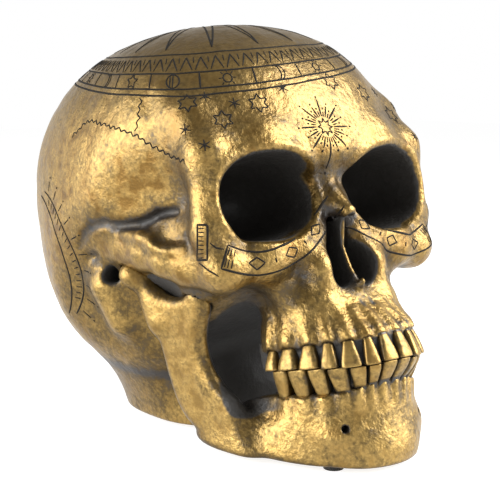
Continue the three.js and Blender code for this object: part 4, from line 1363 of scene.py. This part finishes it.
# %% Beads of ink
# A bead's section: six points, half widths to the side and heights above the surface.
BEAD_SIDE = np.array([-1, -0.6, 0, 0.6, 1, 0])
BEAD_UP = np.array([-0.6, 0.75, 1.0, 0.75, -0.6, -1.6])
BEAD_CAP = np.array([(0, 1, 2, 3), (0, 3, 4, 5)])
TIP_WIDTH, TIP_GROWTH = 0.55, 0.45


def bead(points, normals, width, loop):
    """A closed tube of ink: p + side w/2 s + up h n round each point, tapered where an open line ends."""
    count, around = len(points), len(BEAD_SIDE)
    if loop:
        run = np.roll(points, -1, 0) - np.roll(points, 1, 0)
        taper = np.ones(count)
    else:
        run = np.gradient(points, axis=0)
        from_end = np.minimum(np.arange(count), np.arange(count)[::-1])
        taper = np.clip(TIP_WIDTH + TIP_GROWTH * from_end / 2, 0, 1)
    side = np.cross(run, normals)
    side /= np.linalg.norm(side, axis=1, keepdims=True) + SMALL
    across = (taper * width / 2)[:, None, None] * BEAD_SIDE[:, None] * side[:, None]
    lift = INK_HEIGHT * BEAD_UP[:, None] * normals[:, None]
    ring = points[:, None] + across + lift
    rows = count if loop else count - 1
    row, step = np.meshgrid(np.arange(rows), np.arange(around), indexing="ij")
    first, second = row * around + step, row * around + (step + 1) % around
    after = around * ((row + 1) % count) - around * row
    quads = np.stack([first, second, second + after, first + after], -1).reshape(-1, 4)
    if not loop:
        quads = np.concatenate([quads, BEAD_CAP[:, ::-1], BEAD_CAP + around * (count - 1)])
    return ring.reshape(-1, 3), quads


all_points, all_aims = (np.concatenate([one[part] for one in strokes]) for part in (0, 1))
dropped, facing_out, landed = drop(all_points, all_aims)
ink_points, ink_faces, start, count = [], [], 0, 0
for line, _, width, loop in strokes:
    end = start + len(line)
    breaks = np.nonzero(np.diff(landed[start:end].astype(int)))[0] + 1
    for run in np.split(np.arange(start, end), breaks):
        if landed[run[0]] and len(run) > 2:
            points, quads = bead(dropped[run], facing_out[run], width, loop and len(breaks) == 0)
            ink_points.append(points)
            ink_faces.append(quads + count)
            count += len(points)
    start = end
engraving = closed(make_piece(
    "inked_engraving", np.concatenate(ink_points), np.concatenate(ink_faces), "black_plate",
))
print(len(ink_points), "beads of ink")

# %% [markdown]
# ## Materials
# One small function adds a node. Colours are written as the sRGB hex values that a paint maker would
# give, and turned to linear light. Pattern sizes are in millimetres.

# %% Colour and node helpers


def linear(hex_colour):
    """sRGB to linear: c / 12.92 below 0.04045, else ((c + 0.055) / 1.055)^2.4."""
    values = [int(hex_colour[start:start + 2], 16) / 255 for start in (1, 3, 5)]
    return [c / 12.92 if c <= 0.04045 else ((c + 0.055) / 1.055) ** 2.4 for c in values] + [1]


def add(tree, kind, inputs, **settings):
    """Adds a node, with its settings, and each input linked if it is given a socket, or set to a value."""
    node = tree.nodes.new(kind)
    for key, value in settings.items():
        setattr(node, key, value)
    for key, value in inputs.items():
        if isinstance(value, bpy.types.NodeSocket):
            tree.links.new(value, node.inputs[key])
        else:
            node.inputs[key].default_value = value
    return node


def per_mm(size):
    """The scale of a noise whose features are this many millimetres across, on coordinates in metres."""
    return 1 / (size * MM)


def new_material(name):
    """An empty material and its node tree."""
    material = bpy.data.materials.new(name)
    material.use_nodes = True
    material.node_tree.nodes.clear()
    return material, material.node_tree


# %% [markdown]
# ## Gold wax over black
# Gold gilding wax is a metal powder in a soft wax: bright where it was rubbed, and missing in the
# hollows, where the black primer shows. Fine flecks of primer come through everywhere. The sockets
# are matt black with no gold at all. Painted shade makes the crown a darker olive and the hollows
# umber, and a painted highlight makes the gold lighter low on the front of the face.

# %% The wax's colours and limits
GOLD_BRIGHT = "#BC9B58"
GOLD_DEEP = "#6C501F"
# Painted shade: a darker olive gold for the top of the crown.
GOLD_CROWN_SHADE = "#746039"
PRIMER = "#1D1713"
SOCKET_BLACK = "#23201C"
# Painted shade: umber gold in the hollows, before the primer.
SHADE_UMBER = "#4A3A1C"
SOCKET_ROUGHNESS = 0.72
# Size in mm and detail of each pattern, and its weight in how deep a point seems to the brush.
PATTERNS = {"broad": (20, 2, 0.9), "brush": (5.0, 3, 0.9), "fleck": (1.6, 2, 0.75)}
HOLLOW_SHARE, HOLLOW_OFFSET = 1.45, -0.68
RAGGED_EDGE, FLECK_RELIEF, RELIEF_DEPTH = 1.2, 0.3, 3.0
# Each ramp turns one range of values into another. Heights and places along Y are in metres. The soft
# ramps ease in and out.
RAMPS = {
    "tone": {"From Min": 0.75, "From Max": 1.25},
    # Painted highlight: the gold is painted lighter below 45 mm on the front of the face.
    "painted_low_light": {"From Min": 45 * MM, "From Max": 85 * MM, "To Min": 0.28, "To Max": 0.0},
    "in_front": {"From Min": 15 * MM, "From Max": 35 * MM, "To Min": 1.0, "To Max": 0.0},
    # Painted shade: the gold turns darker olive towards the top of the crown.
    "crown": {"From Min": 118 * MM, "From Max": 168 * MM, "To Max": 0.8},
    # Painted shade: umber in the hollows, from the depth in hollows and the noise.
    "hollow_shade": {"From Min": 0.35, "From Max": 1.05, "To Max": 0.9},
    # The primer where the depth is greatest: primer left by the dry brush, deepened by painted shade.
    "bare": {"From Min": 0.85, "From Max": 1.5, "To Max": 0.95},
    "black": {"From Min": 0.35, "From Max": 0.85, "To Min": 1.0, "To Max": 0.0},
    "metal": {"To Min": 0.85, "To Max": 0.0},
    "rough": {"From Min": 0.3, "From Max": 0.7, "To Min": 0.31, "To Max": 0.47},
    "relief": {"From Min": -62 * MM, "From Max": -30 * MM},
}
SOFT_RAMPS = ("hollow_shade", "bare")

# %% Gilding wax


def gilding_wax(name, relief_front, relief_back):
    """Gold over black: tone with a painted highlight low in front, painted shade on the crown and in the
    hollows, bare primer and black sockets, one over the other.
    """
    material, tree = new_material(name)
    place = add(tree, "ShaderNodeTexCoord", {}).outputs["Object"]
    axes = add(tree, "ShaderNodeSeparateXYZ", {"Vector": place}).outputs
    hollow = add(tree, "ShaderNodeAttribute", {}, attribute_name="hollow").outputs["Fac"]
    edge = add(tree, "ShaderNodeAttribute", {}, attribute_name="black_edge").outputs["Fac"]
    noises = {}
    depth = add(
        tree, "ShaderNodeMath", {0: hollow, 1: HOLLOW_SHARE, 2: HOLLOW_OFFSET}, operation="MULTIPLY_ADD",
    ).outputs[0]
    for key, (size, detail, weight) in PATTERNS.items():
        inputs = {"Vector": place, "Scale": per_mm(size), "Detail": detail, "Roughness": 0.6}
        noises[key] = add(tree, "ShaderNodeTexNoise", inputs).outputs["Fac"]
        inputs = {0: noises[key], 1: weight, 2: depth}
        depth = add(tree, "ShaderNodeMath", inputs, operation="MULTIPLY_ADD").outputs[0]
    tone = add(tree, "ShaderNodeMath", {0: noises["broad"], 1: noises["brush"]}, operation="ADD").outputs[0]
    ragged = add(
        tree, "ShaderNodeMath", {0: noises["brush"], 1: RAGGED_EDGE, 2: edge}, operation="MULTIPLY_ADD",
    ).outputs[0]
    read = {
        "tone": tone, "painted_low_light": axes["Z"], "in_front": axes["Y"], "crown": axes["Z"], "hollow_shade": depth,
        "bare": depth, "black": ragged, "rough": noises["brush"],
    }
    share = {}
    for key, value in read.items():
        way = "SMOOTHSTEP" if key in SOFT_RAMPS else "LINEAR"
        inputs = {"Value": value, **RAMPS[key]}
        share[key] = add(tree, "ShaderNodeMapRange", inputs, interpolation_type=way).outputs[0]
    # Painted highlight low on the front of the face, added to the gold's random tone.
    tone = add(
        tree, "ShaderNodeMath", {0: share["painted_low_light"], 1: share["in_front"], 2: share["tone"]},
        operation="MULTIPLY_ADD",
    ).outputs[0]
    colour = linear(GOLD_DEEP)
    # One over the other: random tone with the painted highlight, painted shade on the crown, painted shade
    # in the hollows, the primer and the black sockets.
    layers = [
        (tone, GOLD_BRIGHT), (share["crown"], GOLD_CROWN_SHADE), (share["hollow_shade"], SHADE_UMBER), (share["bare"], PRIMER),
        (share["black"], SOCKET_BLACK),
    ]
    for cover, hex_colour in layers:
        inputs = {"Factor": cover, "A": colour, "B": linear(hex_colour)}
        colour = add(tree, "ShaderNodeMix", inputs, data_type="RGBA").outputs["Result"]
    covered = add(tree, "ShaderNodeMath", {0: share["bare"], 1: share["black"]}, operation="MAXIMUM")
    metal = add(tree, "ShaderNodeMapRange", {"Value": covered.outputs[0], **RAMPS["metal"]}).outputs[0]
    rough = add(
        tree, "ShaderNodeMix", {"Factor": share["black"], "A": share["rough"], "B": SOCKET_ROUGHNESS},
        data_type="FLOAT",
    ).outputs["Result"]
    relief = add(
        tree, "ShaderNodeMath", {0: noises["fleck"], 1: FLECK_RELIEF, 2: noises["brush"]},
        operation="MULTIPLY_ADD",
    ).outputs[0]
    strength = add(
        tree, "ShaderNodeMapRange",
        {"Value": axes["Y"], **RAMPS["relief"], "To Min": relief_front, "To Max": relief_back},
    ).outputs[0]
    bump = add(
        tree, "ShaderNodeBump", {"Height": relief, "Strength": strength, "Distance": RELIEF_DEPTH * MM},
    ).outputs["Normal"]
    shader = add(
        tree, "ShaderNodeBsdfPrincipled",
        {
            "Base Color": colour, "Metallic": metal, "Roughness": rough, "Normal": bump,
            "Coat Weight": 0.15, "Coat Roughness": 0.28, "Coat Normal": bump,
        },
    )
    add(tree, "ShaderNodeOutputMaterial", {"Surface": shader.outputs["BSDF"]})
    return material


wax = gilding_wax("gold_gilding_wax_on_black_primer", relief_front=0.32, relief_back=0.16)
rubbed_wax = gilding_wax("gold_gilding_wax_rubbed_smooth", relief_front=0.10, relief_back=0.10)
for piece in (cranium_piece, jaw_piece):
    piece.data.materials.append(wax)
for piece in (upper_teeth, lower_teeth):
    piece.data.materials.append(rubbed_wax)

# %% Ink
INK_BLACK, INK_GREY = "#080705", "#19140D"
INK_PATCH = 3


def engraver_ink(name):
    """Matt black with a faint grey where it dried thin, in patches of 3 mm."""
    material, tree = new_material(name)
    place = add(tree, "ShaderNodeTexCoord", {}).outputs["Object"]
    inputs = {"Vector": place, "Scale": per_mm(INK_PATCH), "Detail": 3}
    patch = add(tree, "ShaderNodeTexNoise", inputs).outputs["Fac"]
    colour = add(
        tree, "ShaderNodeMix", {"Factor": patch, "A": linear(INK_BLACK), "B": linear(INK_GREY)},
        data_type="RGBA",
    ).outputs["Result"]
    bump = add(tree, "ShaderNodeBump", {"Height": patch, "Strength": 0.3, "Distance": 0.1 * MM})
    shader = add(
        tree, "ShaderNodeBsdfPrincipled",
        {
            "Base Color": colour, "Roughness": 0.85, "Specular IOR Level": 0.25,
            "Normal": bump.outputs["Normal"],
        },
    )
    add(tree, "ShaderNodeOutputMaterial", {"Surface": shader.outputs["BSDF"]})
    return material


engraving.data.materials.append(engraver_ink("matt_black_engraver_ink"))

# %% [markdown]
# ## The plate and the felt pads
# These keep their CAD shapes. The plate is moulded ABS with a fine spark-eroded texture, and the pads
# are die-cut wool felt, a mat of fibres about 0.1 mm thick, drawn here at 0.4 mm so that they show.

# %% Plastic and felt
ABS_DARK, ABS_LIGHT = "#1B1A19", "#2A2826"
WOOL_DARK, WOOL_LIGHT = "#121110", "#34312E"
SPARK_GRAIN, FIBRE = 0.5, 0.4


def moulded_abs(name):
    """Black plastic whose grain shows as small changes of tone, gloss and height."""
    material, tree = new_material(name)
    place = add(tree, "ShaderNodeTexCoord", {}).outputs["Object"]
    inputs = {"Vector": place, "Scale": per_mm(SPARK_GRAIN), "Detail": 2}
    grain = add(tree, "ShaderNodeTexNoise", inputs).outputs["Fac"]
    colour = add(
        tree, "ShaderNodeMix", {"Factor": grain, "A": linear(ABS_DARK), "B": linear(ABS_LIGHT)},
        data_type="RGBA",
    ).outputs["Result"]
    rough = add(tree, "ShaderNodeMapRange", {"Value": grain, "To Min": 0.5, "To Max": 0.7}).outputs[0]
    bump = add(tree, "ShaderNodeBump", {"Height": grain, "Strength": 0.3, "Distance": 0.05 * MM})
    inputs = {"Base Color": colour, "Roughness": rough, "Normal": bump.outputs["Normal"]}
    shader = add(tree, "ShaderNodeBsdfPrincipled", inputs)
    add(tree, "ShaderNodeOutputMaterial", {"Surface": shader.outputs["BSDF"]})
    return material


def wool_felt(name):
    """Black wool whose fibres are noise stretched along X."""
    material, tree = new_material(name)
    place = add(tree, "ShaderNodeTexCoord", {}).outputs["Object"]
    stretched = add(tree, "ShaderNodeMapping", {"Vector": place, "Scale": (1.0, 3.0, 2.0)}).outputs["Vector"]
    inputs = {"Vector": stretched, "Scale": per_mm(FIBRE), "Detail": 4, "Distortion": 1.5}
    fibre = add(tree, "ShaderNodeTexNoise", inputs).outputs["Fac"]
    colour = add(
        tree, "ShaderNodeMix", {"Factor": fibre, "A": linear(WOOL_DARK), "B": linear(WOOL_LIGHT)},
        data_type="RGBA",
    ).outputs["Result"]
    bump = add(tree, "ShaderNodeBump", {"Height": fibre, "Strength": 0.8, "Distance": 0.15 * MM})
    shader = add(
        tree, "ShaderNodeBsdfPrincipled",
        {
            "Base Color": colour, "Roughness": 0.95, "Sheen Weight": 0.3,
            "Normal": bump.outputs["Normal"],
        },
    )
    add(tree, "ShaderNodeOutputMaterial", {"Surface": shader.outputs["BSDF"]})
    return material


abs_plastic = moulded_abs("moulded_black_abs")
felt = wool_felt("black_wool_felt")
for name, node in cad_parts.items():
    finish = abs_plastic if name == "base_plate" else felt
    node.data.materials.clear()
    node.data.materials.append(finish)

# %% [markdown]
# ## The studio
# A product photograph on white. As the camera sees it, one soft square light stands high on the right,
# one on the left, and two weaker ones low: on the left in front, and on the right. The surround is full
# white for the camera and dimmer above for what the gold reflects, and it sheds less light than it
# shows, so it doesn't wash out the shading.

# %% Floor, world and lights
WHITE = (1, 1, 1, 1)
SURROUND_LIGHT = 0.42
CEILING = {"From Min": 0.15, "From Max": 0.6, "To Min": 1.0, "To Max": 0.4}
PAPER, PAPER_GLOW, GLOW_SHARE = "#EDEDED", 1.62, 0.5
FLOOR_SIZE = 6.0


def white_where_seen(tree):
    """1 for camera, glossy and transmission rays, 0 for the light that the surround sheds."""
    rays = add(tree, "ShaderNodeLightPath", {}).outputs
    seen = rays["Is Camera Ray"]
    for kind in ("Is Glossy Ray", "Is Transmission Ray"):
        seen = add(tree, "ShaderNodeMath", {0: seen, 1: rays[kind]}, operation="MAXIMUM").outputs[0]
    return seen


def studio_world():
    """A white surround whose upper part is dimmer in reflections."""
    world = bpy.data.worlds.new("studio")
    world.use_nodes = True
    tree = world.node_tree
    tree.nodes.clear()
    up = add(tree, "ShaderNodeTexCoord", {}).outputs["Generated"]
    up = add(tree, "ShaderNodeSeparateXYZ", {"Vector": up}).outputs["Z"]
    backdrop = add(tree, "ShaderNodeMapRange", {"Value": up, **CEILING}).outputs[0]
    camera_ray = add(tree, "ShaderNodeLightPath", {}).outputs["Is Camera Ray"]
    backdrop = add(tree, "ShaderNodeMath", {0: backdrop, 1: camera_ray}, operation="MAXIMUM").outputs[0]
    inputs = {"Value": white_where_seen(tree), "To Min": SURROUND_LIGHT, "To Max": backdrop}
    strength = add(tree, "ShaderNodeMapRange", inputs).outputs[0]
    shader = add(tree, "ShaderNodeBackground", {"Color": WHITE, "Strength": strength})
    add(tree, "ShaderNodeOutputWorld", {"Surface": shader.outputs["Background"]})
    bpy.context.scene.world = world


def studio_floor(size):
    """A square of white paper, which glows only for what the camera and the gold see."""
    mesh = bpy.data.meshes.new("floor")
    half = size / 2
    corners = [(-half, -half, 0), (half, -half, 0), (half, half, 0), (-half, half, 0)]
    mesh.from_pydata(corners, [], [(0, 1, 2, 3)])
    floor = bpy.data.objects.new("floor", mesh)
    bpy.context.scene.collection.objects.link(floor)
    material, tree = new_material("white_paper")
    paper = add(tree, "ShaderNodeBsdfDiffuse", {"Color": linear(PAPER)}).outputs["BSDF"]
    glow = add(tree, "ShaderNodeEmission", {"Color": WHITE, "Strength": PAPER_GLOW}).outputs["Emission"]
    inputs = {"Value": white_where_seen(tree), "To Max": GLOW_SHARE}
    share = add(tree, "ShaderNodeMapRange", inputs).outputs[0]
    mixed = add(tree, "ShaderNodeMixShader", {"Fac": share, 1: paper, 2: glow}).outputs["Shader"]
    add(tree, "ShaderNodeOutputMaterial", {"Surface": mixed})
    mesh.materials.append(material)
    return floor


def soft_light(name, direction, distance, size, power, target):
    """A square area light at target + distance direction, aimed at the target."""
    light = bpy.data.lights.new(name, "AREA")
    light.size = size
    light.energy = power
    lamp = bpy.data.objects.new(name, light)
    lamp.location = Vector(target) + Vector(direction).normalized() * distance
    lamp.rotation_euler = (-Vector(direction)).to_track_quat("-Z", "Y").to_euler()
    bpy.context.scene.collection.objects.link(lamp)


# %% [markdown]
# ## The camera
# The photograph looks at the skull from 38 degrees to its right and 8 degrees up, half a metre away.
# The focal length was measured in the photograph's pixels, of which it has 500 across, and a sensor
# 36 mm wide then gives the lens.

# %% Camera
CAMERA_AZIMUTH, CAMERA_ELEVATION = np.radians(-38.0), np.radians(8.4)
CAMERA_DISTANCE = 500 * MM
FOCAL_PIXELS, PICTURE_PIXELS, SENSOR = 1133, 500, 36
AIM_Y, AIM_HEIGHT = -19.4, 75.1
target = Vector((0, (SHIFT + AIM_Y) * MM, AIM_HEIGHT * MM))
back = Vector((
    np.sin(CAMERA_AZIMUTH) * np.cos(CAMERA_ELEVATION),
    -np.cos(CAMERA_AZIMUTH) * np.cos(CAMERA_ELEVATION),
    np.sin(CAMERA_ELEVATION),
))
camera_data = bpy.data.cameras.new("camera")
camera_data.sensor_width = SENSOR
camera_data.lens = camera_data.sensor_width * FOCAL_PIXELS / PICTURE_PIXELS
camera = bpy.data.objects.new("camera", camera_data)
camera.location = target + back * CAMERA_DISTANCE
camera.rotation_euler = (-back).to_track_quat("-Z", "Y").to_euler()
bpy.context.scene.collection.objects.link(camera)
bpy.context.scene.camera = camera
bpy.context.scene.view_settings.view_transform = "Standard"
print("lens", round(camera_data.lens, 1), "mm")

# %% Set the stage
# For each light: direction from the skull, distance and size in metres, and power in watts.
LIGHTS = {
    "key": ((0.56, -0.52, 0.62), 0.85, 0.6, 14.0),
    "side": ((-0.85, 0.38, 0.2), 1.0, 0.85, 17.0),
    "low": ((-0.95, -0.1, -0.02), 1.1, 0.6, 5.0),
    "front": ((0.75, -0.75, 0.04), 1.0, 0.7, 8.0),
}
studio_world()
studio_floor(FLOOR_SIZE)
for name, (direction, distance, size, power) in LIGHTS.items():
    soft_light(name, direction, distance, size, power, target)
print("lights:", ", ".join(LIGHTS))
